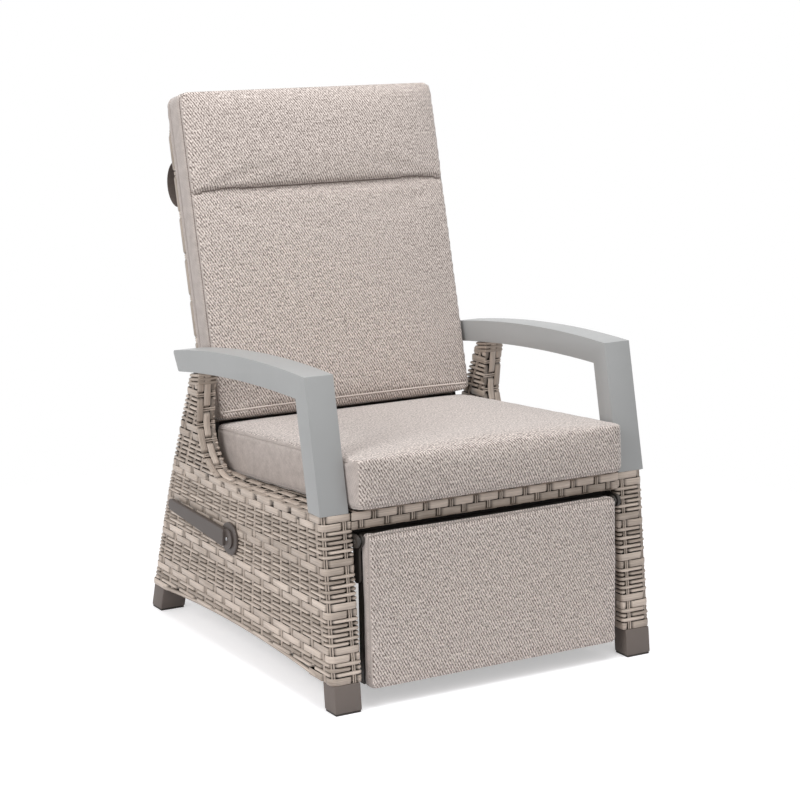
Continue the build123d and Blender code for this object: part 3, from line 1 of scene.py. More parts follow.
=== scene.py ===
import json
import math

import bmesh
import bpy
from bpy.props import FloatProperty, FloatVectorProperty, IntProperty, PointerProperty
from mathutils import Matrix, Vector
from mathutils.bvhtree import BVHTree
from mathutils.kdtree import KDTree


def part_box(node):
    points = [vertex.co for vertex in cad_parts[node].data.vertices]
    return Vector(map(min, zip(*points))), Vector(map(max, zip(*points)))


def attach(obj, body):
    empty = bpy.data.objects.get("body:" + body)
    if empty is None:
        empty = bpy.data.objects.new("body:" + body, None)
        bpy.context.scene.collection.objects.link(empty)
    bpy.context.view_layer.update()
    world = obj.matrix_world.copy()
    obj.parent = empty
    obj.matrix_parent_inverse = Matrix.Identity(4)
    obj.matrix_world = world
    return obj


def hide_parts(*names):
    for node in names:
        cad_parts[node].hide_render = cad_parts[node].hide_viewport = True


bl_info = {
    "name": "Reclining Garden Armchair",
    "version": (1, 0, 0),
    "blender": (4, 5, 0),
    "location": "View3D > Sidebar > Armchair",
    "description": "Dresses the frame of a woven garden armchair with strands, cushions and finishes",
    "category": "Object",
}

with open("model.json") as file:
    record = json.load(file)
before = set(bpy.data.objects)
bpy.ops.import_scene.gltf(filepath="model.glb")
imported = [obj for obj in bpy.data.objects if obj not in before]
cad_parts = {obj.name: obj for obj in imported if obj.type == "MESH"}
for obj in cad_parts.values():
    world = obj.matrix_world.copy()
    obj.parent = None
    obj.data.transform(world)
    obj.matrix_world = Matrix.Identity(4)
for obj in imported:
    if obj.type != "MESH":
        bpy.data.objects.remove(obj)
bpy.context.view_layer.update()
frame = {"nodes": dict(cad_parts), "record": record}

# Places taken over from the frame, in metres; Y runs to the back and Z up
SIDE_OUTER = 0.354
SIDE_INNER = 0.296
LEG_INNER = 0.290
POST_INNER = 0.312
LEG_TOP = 0.3593
FOOT_TOP = 0.054
LEG_FRONT_FOOT = -0.402
LEG_LEAN = math.tan(math.radians(7.0))
LEG_DEPTH = 0.060
DIP = (0.020, 0.3415)
BEND = (0.107, 0.366)
POST_LOW = (0.142, 0.440)
POST_TOP_Y = 0.131
REAR_ARC = ((0.381, 0.0), (0.277, 0.293), (0.1706, 0.5316))
ARM_UNDER_ARC = ((0.2155, 0.5257), (-0.0525, 0.5531), (-0.2712, 0.5586))
ARCH = ((-0.3354, 0.054), (-0.0117, 0.068), (0.3119, 0.054))
BACK_PIVOT = Vector((0.0, 0.206, 0.330))
BACK_LEAN = math.radians(14.5)
SEAT_ORIGIN = Vector((0.0, -0.345, 0.364))
SEAT_SLOPE = math.radians(4.2)
FOOTREST_PIVOT = Vector((0.0, -0.365, 0.308))
FOOTREST_LEAN = math.radians(2.0)


def circle_through(points):
    """Centre and radius of the circle through three points of a plane."""
    (ax, ay), (bx, by), (cx, cy) = points
    d = 2 * (ax * (by - cy) + bx * (cy - ay) + cx * (ay - by))
    a2 = ax * ax + ay * ay
    b2 = bx * bx + by * by
    c2 = cx * cx + cy * cy
    x = (a2 * (by - cy) + b2 * (cy - ay) + c2 * (ay - by)) / d
    y = (a2 * (cx - bx) + b2 * (ax - cx) + c2 * (bx - ax)) / d
    return x, y, math.hypot(ax - x, ay - y)


REAR_CIRCLE = circle_through(REAR_ARC)
UNDER_CIRCLE = circle_through(ARM_UNDER_ARC)
ARCH_CIRCLE = circle_through(ARCH)
BEND_CIRCLE = circle_through((DIP, BEND, POST_LOW))


def leg_front(z):
    """Y of the front legs' leaning face at a height."""
    return LEG_FRONT_FOOT + z * LEG_LEAN


def side_rear(z):
    """Y of the sides' curved rear edge at a height."""
    x, y, r = REAR_CIRCLE
    sign = 1 if x < REAR_ARC[0][0] else -1
    return x + sign * math.sqrt(r * r - (z - y) ** 2)


def arm_underside(y):
    """Height of the arm's underside at a place along Y."""
    cx, cz, r = UNDER_CIRCLE
    return cz + math.sqrt(r * r - (y - cx) ** 2)


def arch_height(y):
    """Height of the sides' lower edge between the legs."""
    cx, cz, r = ARCH_CIRCLE
    return max(FOOT_TOP, cz + math.sqrt(max(r * r - (y - cx) ** 2, 0.0)))


def top_edge_y(z):
    """Y of the sides' curved edge between the seat and the arm's rear end."""
    if z >= POST_LOW[1]:
        share = (z - POST_LOW[1]) / (arm_underside(POST_TOP_Y) - POST_LOW[1])
        return POST_LOW[0] + (POST_TOP_Y - POST_LOW[0]) * share
    cx, cz, r = BEND_CIRCLE
    return cx + math.sqrt(max(r * r - (z - cz) ** 2, 0.0))


def top_slope(y):
    """How far the sides' top edge has fallen below the leg's top at a place along Y."""
    start = leg_front(LEG_TOP)
    share = min(max((y - start) / (DIP[0] - start), 0.0), 1.0)
    return (LEG_TOP - DIP[1]) * share

# Settings

def a_number(name, default, description, **kind):
    """A number that the panel shows."""
    return FloatProperty(name=name, description=description, default=default, **kind)


def a_length(name, default, description):
    """A length in metres that the panel shows."""
    return a_number(name, default, description, unit="LENGTH")


def a_place(name, default, description):
    """A place in metres that the panel shows."""
    return FloatVectorProperty(name=name, description=description, default=default, subtype="TRANSLATION",
                               unit="LENGTH")


def a_colour(name, default, description):
    """A colour that the panel shows."""
    return FloatVectorProperty(name=name, description=description, default=default, subtype="COLOR")


class WeaveSettings(bpy.types.PropertyGroup):
    """Sizes and colours of the woven strands"""

    flat_pitch: a_length("Flat Pitch", 0.0143, "Spacing of the wide flat strands")
    narrow_pitch: a_length("Narrow Pitch", 0.00835, "Spacing of the half-round strands")
    gap: a_length("Gap", 0.0009, "Open space between neighbouring strands")
    dip: a_length("Dip", 0.0046, "How deep a strand passes under a stake")
    stakes: IntProperty(name="Stakes", description="Pairs of stakes along each side", default=18)
    light: a_colour("Light Strand", (0.76, 0.645, 0.555), "Lighter colour of the strands")
    dark: a_colour("Dark Strand", (0.25, 0.20, 0.16), "Darker colour of the strands")
    # Painted shade: how far a strand's colour goes towards the near-black inner colour where it passes under
    sunk_shade: a_number("Sunk Shade", 0.86, "How dark a strand is where it passes under")
    # Painted shade: a near-black block fills the weave's inside, where only shade would be seen
    core: a_colour("Core", (0.035, 0.026, 0.02), "Dark ground behind the strands")


class FabricSettings(bpy.types.PropertyGroup):
    """Sizes and colours of the cushions' cloth"""

    twill_pitch: a_length("Twill Pitch", 0.0056, "Spacing of the diagonal lines across the cloth")
    yarn_pitch: a_length("Yarn Pitch", 0.0036, "Spacing of the floats along a diagonal line")
    pale_yarn: a_colour("Pale Yarn", (0.80, 0.71, 0.66), "Colour of the raised yarns")
    deep_yarn: a_colour("Deep Yarn", (0.13, 0.098, 0.085), "Colour between the raised yarns")
    stitch: a_colour("Stitching", (0.20, 0.16, 0.14), "Colour of the seams")
    pressure: a_number("Filling", 2.5, "Pressure that swells the cushions")


class FinishSettings(bpy.types.PropertyGroup):
    """Colours of the painted, moulded and metal pieces"""

    arm: a_colour("Arms", (0.37, 0.375, 0.375), "Powder coat of the arms")
    frame_coat: a_colour("Frames", (0.045, 0.038, 0.033), "Powder coat of the inner frames")
    foot: a_colour("Feet", (0.148, 0.121, 0.106), "Moulded feet")
    lever: a_colour("Lever", (0.085, 0.068, 0.060), "Moulded lever and rosette")
    glide: a_colour("Glides", (0.06, 0.052, 0.046), "Rubber pads of the feet")


class StageSettings(bpy.types.PropertyGroup):
    """Camera and light"""

    lens: a_number("Lens", 100.3, "Focal length in millimetres")
    eye: a_place("Eye", (-2.1918, -3.7018, 1.3806), "Place of the camera")
    target: a_place("Target", (0.09668, 0.122, 0.43586), "Point that the camera looks at")
    ambient: a_number("Ambient", 0.50, "Strength of the light from all round")
    key: a_number("Key", 70.0, "Power of the large lamp at the left", unit="POWER")
    fill: a_number("Fill", 4.0, "Power of the lamp in front", unit="POWER")
    top: a_number("Top", 46.0, "Power of the lamp overhead", unit="POWER")
    floor_glow: a_number("Floor Glow", 0.40, "Light that the white floor gives off")


def weave_settings():
    return bpy.context.scene.armchair_weave


def fabric_settings():
    return bpy.context.scene.armchair_fabric


def finish_settings():
    return bpy.context.scene.armchair_finish


# Materials

class Tree:
    """Short words for building a node tree."""

    def __init__(self, tree):
        self.tree = tree

    def fill(self, node, inputs):
        """Links or sets a node's inputs; a colour gets its alpha."""
        for key, value in inputs.items():
            socket = node.inputs[key]
            if isinstance(value, bpy.types.NodeSocket):
                self.tree.links.new(value, socket)
            elif socket.type == "RGBA":
                socket.default_value = (*value[:3], 1.0)
            else:
                socket.default_value = value

    def add(self, kind, inputs=None, **settings):
        node = self.tree.nodes.new(kind)
        for key, value in settings.items():
            setattr(node, key, value)
        self.fill(node, inputs or {})
        return node

    def math(self, operation, *values):
        return self.add("ShaderNodeMath", dict(enumerate(values)), operation=operation).outputs[0]

    def mix(self, factor, first, second):
        return self.add("ShaderNodeMix", {0: factor, 6: first, 7: second}, data_type="RGBA").outputs[2]

    def map(self, value, low, high, to_low=0.0, to_high=1.0):
        return self.add("ShaderNodeMapRange", {"Value": value, "From Min": low, "From Max": high,
                                               "To Min": to_low, "To Max": to_high}).outputs[0]

    def noise(self, place, scale, detail, roughness=0.5):
        return self.add("ShaderNodeTexNoise", {"Vector": place, "Scale": scale, "Detail": detail,
                                               "Roughness": roughness}).outputs["Fac"]

    def bump(self, height, distance, strength=1.0):
        return self.add("ShaderNodeBump", {"Height": height, "Distance": distance,
                                           "Strength": strength}).outputs["Normal"]

    def object_place(self):
        return self.add("ShaderNodeTexCoord").outputs["Object"]

    def map_axes(self, name):
        """A named map of the surface, with its two axes."""
        found = self.add("ShaderNodeUVMap", uv_map=name).outputs["UV"]
        axes = self.add("ShaderNodeSeparateXYZ", {"Vector": found}).outputs
        return found, axes["X"], axes["Y"]


def new_group(name, inputs, outputs):
    """A shader node group with named sockets."""
    group = bpy.data.node_groups.new(name, "ShaderNodeTree")
    for label, kind, value in inputs:
        socket = group.interface.new_socket(label, in_out="INPUT", socket_type="NodeSocket" + kind)
        if value is not None:
            socket.default_value = value
    for label, kind in outputs:
        group.interface.new_socket(label, in_out="OUTPUT", socket_type="NodeSocket" + kind)
    tree = Tree(group)
    return group, tree, tree.add("NodeGroupInput").outputs, tree.add("NodeGroupOutput")


def mottle_group():
    """Cloudy change between two colours, with a value to use for gloss."""
    group, tree, given, out = new_group(
        "Mottle",
        (("Vector", "Vector", None), ("Scale", "Float", 20.0), ("Light", "Color", None),
         ("Dark", "Color", None), ("Contrast", "Float", 1.0)),
        (("Color", "Color"), ("Value", "Float")),
    )
    centred = tree.math("SUBTRACT", tree.noise(given["Vector"], given["Scale"], 5.0, 0.6), 0.5)
    spread = tree.math("MULTIPLY_ADD", centred, tree.math("MULTIPLY", given["Contrast"], 2.2), 0.5)
    share = tree.add("ShaderNodeClamp", {"Value": spread}).outputs[0]
    tree.fill(out, {"Color": tree.mix(share, given["Dark"], given["Light"]), "Value": share})
    return group


def grain_group():
    """Fine surface grain of paint and mouldings, as a normal and a roughness."""
    group, tree, given, out = new_group(
        "Fine Grain",
        (("Vector", "Vector", None), ("Scale", "Float", 900.0), ("Height", "Float", 0.0002),
         ("Roughness", "Float", 0.45), ("Change", "Float", 0.12)),
        (("Normal", "Vector"), ("Roughness", "Float")),
    )
    normal = tree.bump(tree.noise(given["Vector"], given["Scale"], 3.0), given["Height"], 0.6)
    centred = tree.math("SUBTRACT", tree.noise(given["Vector"], 14.0, 4.0), 0.5)
    rough = tree.math("MULTIPLY_ADD", centred, given["Change"], given["Roughness"])
    tree.fill(out, {"Normal": normal, "Roughness": rough})
    return group


def use_group(tree, name, maker, inputs):
    """Places a shared node group, built on its first use, and sets its inputs."""
    node = tree.add("ShaderNodeGroup", node_tree=bpy.data.node_groups.get(name) or maker())
    tree.fill(node, inputs)
    return node.outputs


def new_material(name):
    material = bpy.data.materials.new(name)
    material.use_nodes = True
    return material, Tree(material.node_tree), material.node_tree.nodes["Principled BSDF"]


def kept_material(name, maker, *values, **settings):
    """The material of that name, made on its first use."""
    return bpy.data.materials.get(name) or maker(name, *values, **settings)


def shaded(colour, share):
    return tuple(share * channel for channel in colour)


def coated_material(name, colour, roughness, metallic=0.0, shade=0.82, scale=900.0, height=0.0002,
                    cloud=9.0, coat=0.0):
    """Paint, moulding or metal: one colour with a faint cloud, a fine grain and uneven gloss."""
    material, tree, shader = new_material(name)
    place = tree.object_place()
    mottle = use_group(tree, "Mottle", mottle_group, {
        "Vector": place, "Scale": cloud, "Light": colour, "Dark": shaded(colour, shade), "Contrast": 0.9})
    grain = use_group(tree, "Fine Grain", grain_group, {
        "Vector": place, "Scale": scale, "Height": height, "Roughness": roughness})
    tree.fill(shader, {"Base Color": mottle["Color"], "Normal": grain["Normal"],
                       "Roughness": grain["Roughness"],
                       "Metallic": metallic, "Coat Weight": coat})
    return material


def wicker_material(name, settings):
    """Extruded strands: each has its own colour, with fine lines along it and a satin surface; painted shade
    darkens them where they pass under and at their low edges.
    """
    material, tree, shader = new_material(name)
    _, along, across = tree.map_axes("strand")
    number = tree.math("FLOOR", across)
    tone_and_painted_shade = tree.add("ShaderNodeTexWhiteNoise", {"W": number}, noise_dimensions="1D").outputs["Value"]
    streak_place = tree.add("ShaderNodeCombineXYZ", {
        "X": tree.math("MULTIPLY", along, 14.0), "Y": tree.math("MULTIPLY", across, 520.0), "Z": number})
    streaks = tree.noise(streak_place.outputs[0], 1.0, 4.0, 0.65)
    patch_place = tree.add("ShaderNodeCombineXYZ", {"X": tree.math("MULTIPLY", along, 9.0), "Y": number})
    patches = tree.noise(patch_place.outputs[0], 1.0, 2.0)
    share = tree.math("ADD", tree.math("MULTIPLY", streaks, 0.9), tree.math("MULTIPLY", patches, 0.7))
    share = tree.map(tree.math("ADD", share, tree.math("MULTIPLY", tone_and_painted_shade, 0.35)), 0.62, 1.32)
    # Painted shade: the sunk attribute mixes each strand's colour towards the near-black inner colour where it
    # passes under and at its low edges
    sunk = tree.add("ShaderNodeAttribute", attribute_name="sunk").outputs["Fac"]
    colour = tree.mix(tree.map(sunk, 0.0, 1.0, 0.0, settings.sunk_shade),
                      tree.mix(share, settings.dark, settings.light), settings.core)
    tree.fill(shader, {"Base Color": colour, "Normal": tree.bump(streaks, 0.00035, 0.8),
                       "Roughness": tree.map(streaks, 0.3, 0.7, 0.28, 0.44)})
    return material


def fabric_material(name, settings):
    """Steep twill of mottled yarns on the cloth's own map, plainer on the cushions' sides."""
    material, tree, shader = new_material(name)
    cloth, across, along = tree.map_axes("cloth")
    slant = tree.math("MULTIPLY_ADD", along, 0.58, across)
    line = tree.math("MULTIPLY", slant, 2 * math.pi / settings.twill_pitch)
    panel = tree.map(across, 0.9, 1.0, 0.12, 1.0)
    ridge = tree.math("MULTIPLY_ADD", tree.math("MULTIPLY", tree.math("SINE", line), panel), 0.5, 0.5)
    fine, cross = (tree.math("SINE", tree.math("MULTIPLY", axis, 2 * math.pi / settings.yarn_pitch))
                   for axis in (across, along))
    threads = tree.math("MULTIPLY_ADD", tree.math("MULTIPLY", fine, cross), 0.5, 0.5)
    speck_place = tree.add("ShaderNodeMapping", {"Vector": cloth, "Scale": (330.0, 210.0, 1.0)})
    specks = tree.map(tree.noise(speck_place.outputs[0], 1.0, 3.0, 0.7), 0.3, 0.7, -0.66, 0.66)
    patches = tree.map(tree.noise(cloth, 60.0, 3.0), 0.3, 0.7, -0.06, 0.10)
    share = tree.math("ADD", tree.math("MULTIPLY", ridge, 0.64), tree.math("MULTIPLY", threads, 0.30))
    share = tree.math("ADD", share, tree.math("ADD", tree.math("MULTIPLY", specks, panel), 0.04))
    share = tree.add("ShaderNodeClamp", {"Value": tree.math("ADD", share, patches)}).outputs[0]
    height = tree.math("MULTIPLY_ADD", threads, 0.4, ridge)
    tree.fill(shader, {"Base Color": tree.mix(share, settings.deep_yarn, settings.pale_yarn),
                       "Normal": tree.bump(height, 0.0005, 0.7), "Roughness": 0.95, "Sheen Weight": 0.45,
                       "Sheen Roughness": 0.5, "Specular IOR Level": 0.2})
    return material


def thread_material(name, colour):
    """Piping, thread and webbing: small crossing threads on Object coordinates."""
    material, tree, shader = new_material(name)
    place = tree.object_place()
    threads = tree.add("ShaderNodeTexVoronoi", {"Vector": place, "Scale": 625.0}).outputs["Distance"]
    tree.fill(shader, {"Base Color": tree.mix(tree.noise(place, 700.0, 3.0), shaded(colour, 0.75), colour),
                       "Normal": tree.bump(threads, 0.0003), "Roughness": 0.9})
    return material


def strand_materials():
    """Materials of the strands and of the dark block of painted shade behind them."""
    settings = weave_settings()
    return (kept_material("wicker_strand", wicker_material, settings),
            kept_material("weave_core", coated_material, settings.core, 0.8, shade=0.7))


def cushion_trim():
    return kept_material("cushion_piping", thread_material, shaded(fabric_settings().pale_yarn, 0.62))


def stitch_material():
    return kept_material("cushion_thread", thread_material, fabric_settings().stitch)


def steel_material():
    return kept_material("zinc_steel", coated_material, (0.55, 0.55, 0.56), 0.34, metallic=1.0, shade=0.8,
                         cloud=60.0)


# New objects

def new_object(name, data):
    """A new object in the scene."""
    made = bpy.data.objects.new(name, data)
    bpy.context.scene.collection.objects.link(made)
    return made


def new_piece(name, mesh, *materials):
    """A new object of a bmesh with its materials."""
    data = bpy.data.meshes.new(name)
    mesh.to_mesh(data)
    mesh.free()
    for material in materials:
        data.materials.append(material)
    return new_object(name, data)


# Strands

X_WAY = (1.0, 0.0, 0.0)
Y_WAY = (0.0, 1.0, 0.0)
Z_WAY = (0.0, 0.0, 1.0)


class Track:
    """A line in a plane with its outward normals, read by length."""

    def __init__(self, points, closed=False, side=1.0):
        points = [Vector(point) for point in points]
        if closed:
            points.append(points[0].copy())
        self.points = points
        self.closed = closed
        self.lengths = [0.0]
        for before, after in zip(points, points[1:]):
            self.lengths.append(self.lengths[-1] + (after - before).length)
        self.total = self.lengths[-1]
        self.normals = []
        last = len(points) - 1
        for place in range(last + 1):
            before = points[place - 1] if place else points[last - 1 if closed else 0]
            after = points[place + 1] if place < last else points[1 if closed else last]
            way = (after - before).normalized()
            self.normals.append(Vector((way.y, -way.x)) * side)

    def at(self, length):
        """Point and normal at a length."""
        length = min(max(length, 0.0), self.total)
        place = 0
        while place < len(self.lengths) - 2 and self.lengths[place + 1] < length:
            place += 1
        share = (length - self.lengths[place]) / (self.lengths[place + 1] - self.lengths[place])
        normal = self.normals[place].lerp(self.normals[place + 1], share).normalized()
        return self.points[place].lerp(self.points[place + 1], share), normal

    def length_at(self, point):
        """Length of the place on the line nearest to a point."""
        point = Vector(point)
        found = []
        for place, (before, after) in enumerate(zip(self.points, self.points[1:])):
            way = after - before
            share = min(max((point - before).dot(way) / way.length_squared, 0.0), 1.0)
            found.append(((before + way * share - point).length, self.lengths[place] + way.length * share))
        return min(found)[1]

    def every_other(self, points, first=0):
        """Lengths of every other point: the first, third and so on where first is even."""
        return [self.length_at(point) for number, point in enumerate(points) if (number + first) % 2 == 0]


def straight(start, end):
    """A track along a line."""
    return Track(((start, 0.0), (end, 0.0)))


def spread(half, count):
    """Evenly spread places from -half to half."""
    return [-half + 2 * half * step / count for step in range(count + 1)]


STRAIGHT_ENOUGH = math.radians(89.0)


def rounded(corners, radii, steps=4):
    """A closed line with its corners rounded, as points."""
    points = []
    for place, corner in enumerate(corners):
        corner = Vector(corner)
        radius = radii[place]
        before = (Vector(corners[place - 1]) - corner).normalized()
        after = (Vector(corners[(place + 1) % len(corners)]) - corner).normalized()
        half = before.angle(after) / 2
        if radius <= 0.0 or half > STRAIGHT_ENOUGH:
            points.append(corner)
            continue
        reach = radius / math.tan(half)
        centre = corner + (before + after).normalized() * (radius / math.sin(half))
        start = corner + before * reach - centre
        end = corner + after * reach - centre
        for step in range(steps + 1):
            points.append(centre + start.lerp(end, step / steps).normalized() * radius)
    return points


# A strand is fully down within DIP_FLAT of a stake and level again at DIP_HALF
DIP_HALF = 0.0104
DIP_FLAT = 0.0036
DIP_STEPS = (-DIP_HALF, -0.0085, -0.0058, -DIP_FLAT, DIP_FLAT, 0.0058, 0.0085, DIP_HALF)
# Painted shade: how much darker a strand's low edges are, per metre that they lie below its top
EDGE_SHADE = 240.0
SHARP_STRAND = math.radians(62.0)
SHORTEST = 0.0006
TUCK_REACH = 0.006
TIP_SINK = 0.0008
TIP_SCALE = 1e-7
STAKE_APART = 0.0021
STAKE = ((-0.0014, -0.0009), (-0.0009, 0.0002), (0.0009, 0.0002), (0.0014, -0.0009))
EDGE = 0.0008


def dip_share(away):
    """How far a strand is down at a distance from the stake it passes under, from 0 to 1."""
    share = min(max((abs(away) - DIP_FLAT) / (DIP_HALF - DIP_FLAT), 0.0), 1.0)
    return 0.5 + 0.5 * math.cos(math.pi * share)


def flat_profile(width):
    """Section of a wide flat strand: low at its edges and faintly crowned."""
    half = width / 2
    return ((-half, -0.0011), (-half + EDGE, -0.0001), (0.0, 0.0002), (half - EDGE, -0.0001), (half, -0.0011))


def narrow_profile(width):
    """Section of a half-round strand."""
    half = width / 2
    return ((-half, -0.0034), (-half + EDGE, -0.0012), (-half * 0.4, EDGE), (half * 0.4, EDGE),
            (half - EDGE, -0.0012), (half, -0.0034))


def row_profile(width, is_flat):
    return flat_profile(width) if is_flat else narrow_profile(width)


def laid(spot, across, lift, matrix=Matrix.Identity(4)):
    """How a strand lies: its centre, way across and lift, each fixed or made of a track's point and normal."""
    axes = matrix.to_3x3()

    def place(point, normal):
        given = [item(point, normal) if callable(item) else item for item in (spot, across, lift)]
        return matrix @ Vector(given[0]), axes @ Vector(given[1]), axes @ Vector(given[2])
    return place


def ringed(x):
    """How a strand lies on a track in the plane of Y and Z, its width along X."""
    return laid(lambda point, _: (x, point.x, point.y), X_WAY, lambda _, normal: (0.0, normal.x, normal.y))


def capped(sections, sink=0.0):
    """Sections with a closed tip at each end."""
    first, last = [(spot - lift * sink, across * TIP_SCALE, lift * TIP_SCALE, length, sunk)
                   for spot, across, lift, length, sunk in (sections[0], sections[-1])]
    return [first, *sections, last]


class Weave:
    """Strands swept into one mesh."""

    def __init__(self):
        self.mesh = bmesh.new()
        self.mesh.loops.layers.uv.new("strand")
        self.mesh.verts.layers.float.new("sunk")
        self.buffer = bpy.data.meshes.new("strand_buffer")
        self.strands = 0

    def sweep(self, sections, profile, closed=False):
        """One strand from sections of (centre, across, lift, length, sunk) and a profile of (across, lift)."""
        self.strands += 1
        ring = list(profile) + [profile[0]]
        around = [0.0]
        for before, after in zip(ring, ring[1:]):
            around.append(around[-1] + math.dist(before, after))
        if closed:
            first, last = sections[0], sections[-1]
            sections = list(sections) + [(*first[:3], last[3] + (first[0] - last[0]).length, first[4])]
        columns = len(sections)
        strand = bmesh.new()
        layer = strand.loops.layers.uv.new("strand")
        shade = strand.verts.layers.float.new("sunk")
        grid = bmesh.ops.create_grid(strand, x_segments=columns - 1, y_segments=len(ring) - 1, size=0.5)
        verts = grid["verts"]
        where = {}
        for row, (wide, high) in enumerate(ring):
            for column, (centre, across, lift, length, sunk) in enumerate(sections):
                vert = verts[row * columns + column]
                vert.co = centre + across * wide + lift * high
                # The sunk value carries painted shade: how far down the strand passes, plus its darker low
                # edges
                vert[shade] = sunk + max(-high, 0.0) * EDGE_SHADE
                where[vert] = (length, self.strands + 0.1 + around[row])
        for face in strand.faces:
            for loop in face.loops:
                loop[layer].uv = where[loop.vert]
        strand.to_mesh(self.buffer)
        strand.free()
        self.mesh.from_mesh(self.buffer)

    def lay(self, track, place, profile, unders=(), depth=0.0, lift=0.0, tuck=0.0, tone_and_painted_shade=0.0):
        """A strand along a track: it dips at the lengths of unders, tuck sinks its ends and the last argument
        darkens it with painted shade.
        """
        total = track.total
        if track.closed:
            unders = [under + turn * total for under in unders for turn in (-1, 0, 1)]
        lengths = set(track.lengths) | {under + step for under in unders for step in DIP_STEPS}
        if tuck:
            lengths |= {TUCK_REACH, total - TUCK_REACH}
        kept = [0.0]
        for length in sorted(length for length in lengths if 0.0 < length < total) + [total]:
            if length - kept[-1] > SHORTEST:
                kept.append(length)
        if track.closed:
            kept.pop()
        sections = []
        for length in kept:
            point, normal = track.at(length)
            down = max([dip_share(length - under) for under in unders], default=0.0)
            height = lift - depth * down
            if tuck:
                height -= tuck * max(0.0, 1.0 - min(length, total - length) / TUCK_REACH)
            centre, across, up = place(point, normal)
            # Painted shade: the last argument adds to the sunk value that darkens the strand's colour
            sections.append((centre + up * height, across, up, length, down + tone_and_painted_shade))
        if not track.closed:
            sections = capped(sections, TIP_SINK)
        self.sweep(sections, profile, track.closed)

    def pair(self, track, place, lift=-0.0022):
        """Two thin strands side by side, as one pair of stakes."""
        for shift in (-STAKE_APART, STAKE_APART):
            def beside(point, normal):
                centre, across, up = place(point, normal)
                return centre + across * shift, across, up
            self.lay(track, beside, STAKE, lift=lift)

    def finish(self, name, *materials):
        """Makes the object, of the strands' material and, where it has a dark inner block of painted shade,
        that block's.
        """
        bmesh.ops.remove_doubles(self.mesh, verts=self.mesh.verts, dist=1e-6)
        bmesh.ops.recalc_face_normals(self.mesh, faces=self.mesh.faces)
        for face in self.mesh.faces:
            face.smooth = True
        piece = new_piece(name, self.mesh, *materials)
        piece.data.set_sharp_from_angle(angle=SHARP_STRAND)
        return piece


# How far the dark blocks of painted shade are drawn in from the weave's faces
PAINTED_SHADE_DEPTH = 0.0074


def inset_prism(weave, outline, low, high, place):
    """A dark block of painted shade inside an outline of (a, b) points, drawn in all round, between two
    offsets.
    """
    mesh = weave.mesh
    verts = [mesh.verts.new(place(*point, low)) for point in outline]
    face = mesh.faces.new(verts)
    face.normal_update()
    rim = bmesh.ops.inset_region(mesh, faces=[face], thickness=PAINTED_SHADE_DEPTH, use_even_offset=True,
                                 use_boundary=True)["faces"]
    bmesh.ops.delete(mesh, geom=rim, context="FACES")
    loose = [vert for vert in verts if vert.is_valid and not vert.link_faces]
    bmesh.ops.delete(mesh, geom=loose, context="VERTS")
    made = bmesh.ops.extrude_face_region(mesh, geom=[face])["geom"]
    moved = [item for item in made if isinstance(item, bmesh.types.BMVert)]
    bmesh.ops.translate(mesh, verts=moved, vec=place(0.0, 0.0, high) - place(0.0, 0.0, low))
    sides = {link for vert in moved for link in vert.link_faces}
    for item in {link for side in sides for vert in side.verts for link in vert.link_faces}:
        item.material_index = 1


def along_x(y, z, x):
    return Vector((x, y, z))


# Woven sides

ROWS_ABOVE = 0.04
FADE_START = 0.2
FADE_ABOVE = 0.15
FAR_BACK = 1.0


def row_levels(settings):
    """Rows of the side from the foot up: (middle height, width, is it flat)."""
    flat, narrow, gap = settings.flat_pitch, settings.narrow_pitch, settings.gap
    rows = []
    high = LEG_TOP + 2 * (6 * narrow + 2 * flat)
    while high > FOOT_TOP + ROWS_ABOVE:
        for count, pitch, is_flat in ((2, flat, True), (6, narrow, False)):
            for step in range(count):
                rows.append((high - pitch * (step + 0.5), pitch - gap * (1.0 if is_flat else 1.5), is_flat))
            high -= count * pitch
    rows = [row for row in rows if row[0] > FOOT_TOP + ROWS_ABOVE]
    lowest = min(rows)[0] - min(rows)[1] / 2
    step = (lowest - FOOT_TOP - flat) / 3
    for count in range(3):
        rows.append((lowest - step * (count + 0.5), step - gap, False))
    rows.append((FOOT_TOP + flat / 2, flat - gap, True))
    return sorted(rows)


LEG_STAKES = (0.3494, 0.3061)
RANK_LOW = DIP[1]


def stake_y(number, z, settings):
    """Y of one of the side's stakes at a height: they fan out to the foot and follow the rear edge above."""
    share = (number + 0.75) / (settings.stakes + 0.5)
    level = min(z, RANK_LOW)
    y = leg_front(level) + (side_rear(level) - leg_front(level)) * share
    return y + side_rear(z) - side_rear(level)


def side_top(y):
    """Height of the side's top edge at a place along Y."""
    if y <= DIP[0]:
        return LEG_TOP - top_slope(y)
    if y < POST_LOW[0]:
        cx, cz, r = BEND_CIRCLE
        return cz - math.sqrt(max(r * r - (y - cx) ** 2, 0.0))
    return arm_underside(y)


def bend_points(count):
    """Points along the bend between the side's low top and its post, closer together at the bottom."""
    heights = [DIP[1] + (POST_LOW[1] - DIP[1]) * (step / count) ** 1.6 for step in range(1, count)]
    return [(top_edge_y(z), z) for z in heights]


def arch_points(start, end, count):
    """Points along the side's lower edge between the legs."""
    return [(y, arch_height(y)) for y in (start + (end - start) * step / count for step in range(count + 1))]


REAR_TOP = 0.533


def side_outline():
    """Outline of the side as (y, z) points."""
    points = [(leg_front(FOOT_TOP), FOOT_TOP), (leg_front(LEG_TOP), LEG_TOP), DIP, *bend_points(12)]
    points += [POST_LOW, (POST_TOP_Y, arm_underside(POST_TOP_Y))]
    top = arm_underside(side_rear(REAR_TOP))
    heights = [top + (FOOT_TOP - top) * step / 12 for step in range(13)]
    return points + [(side_rear(z), z) for z in heights] + arch_points(ARCH[2][0], ARCH[0][0], 16)


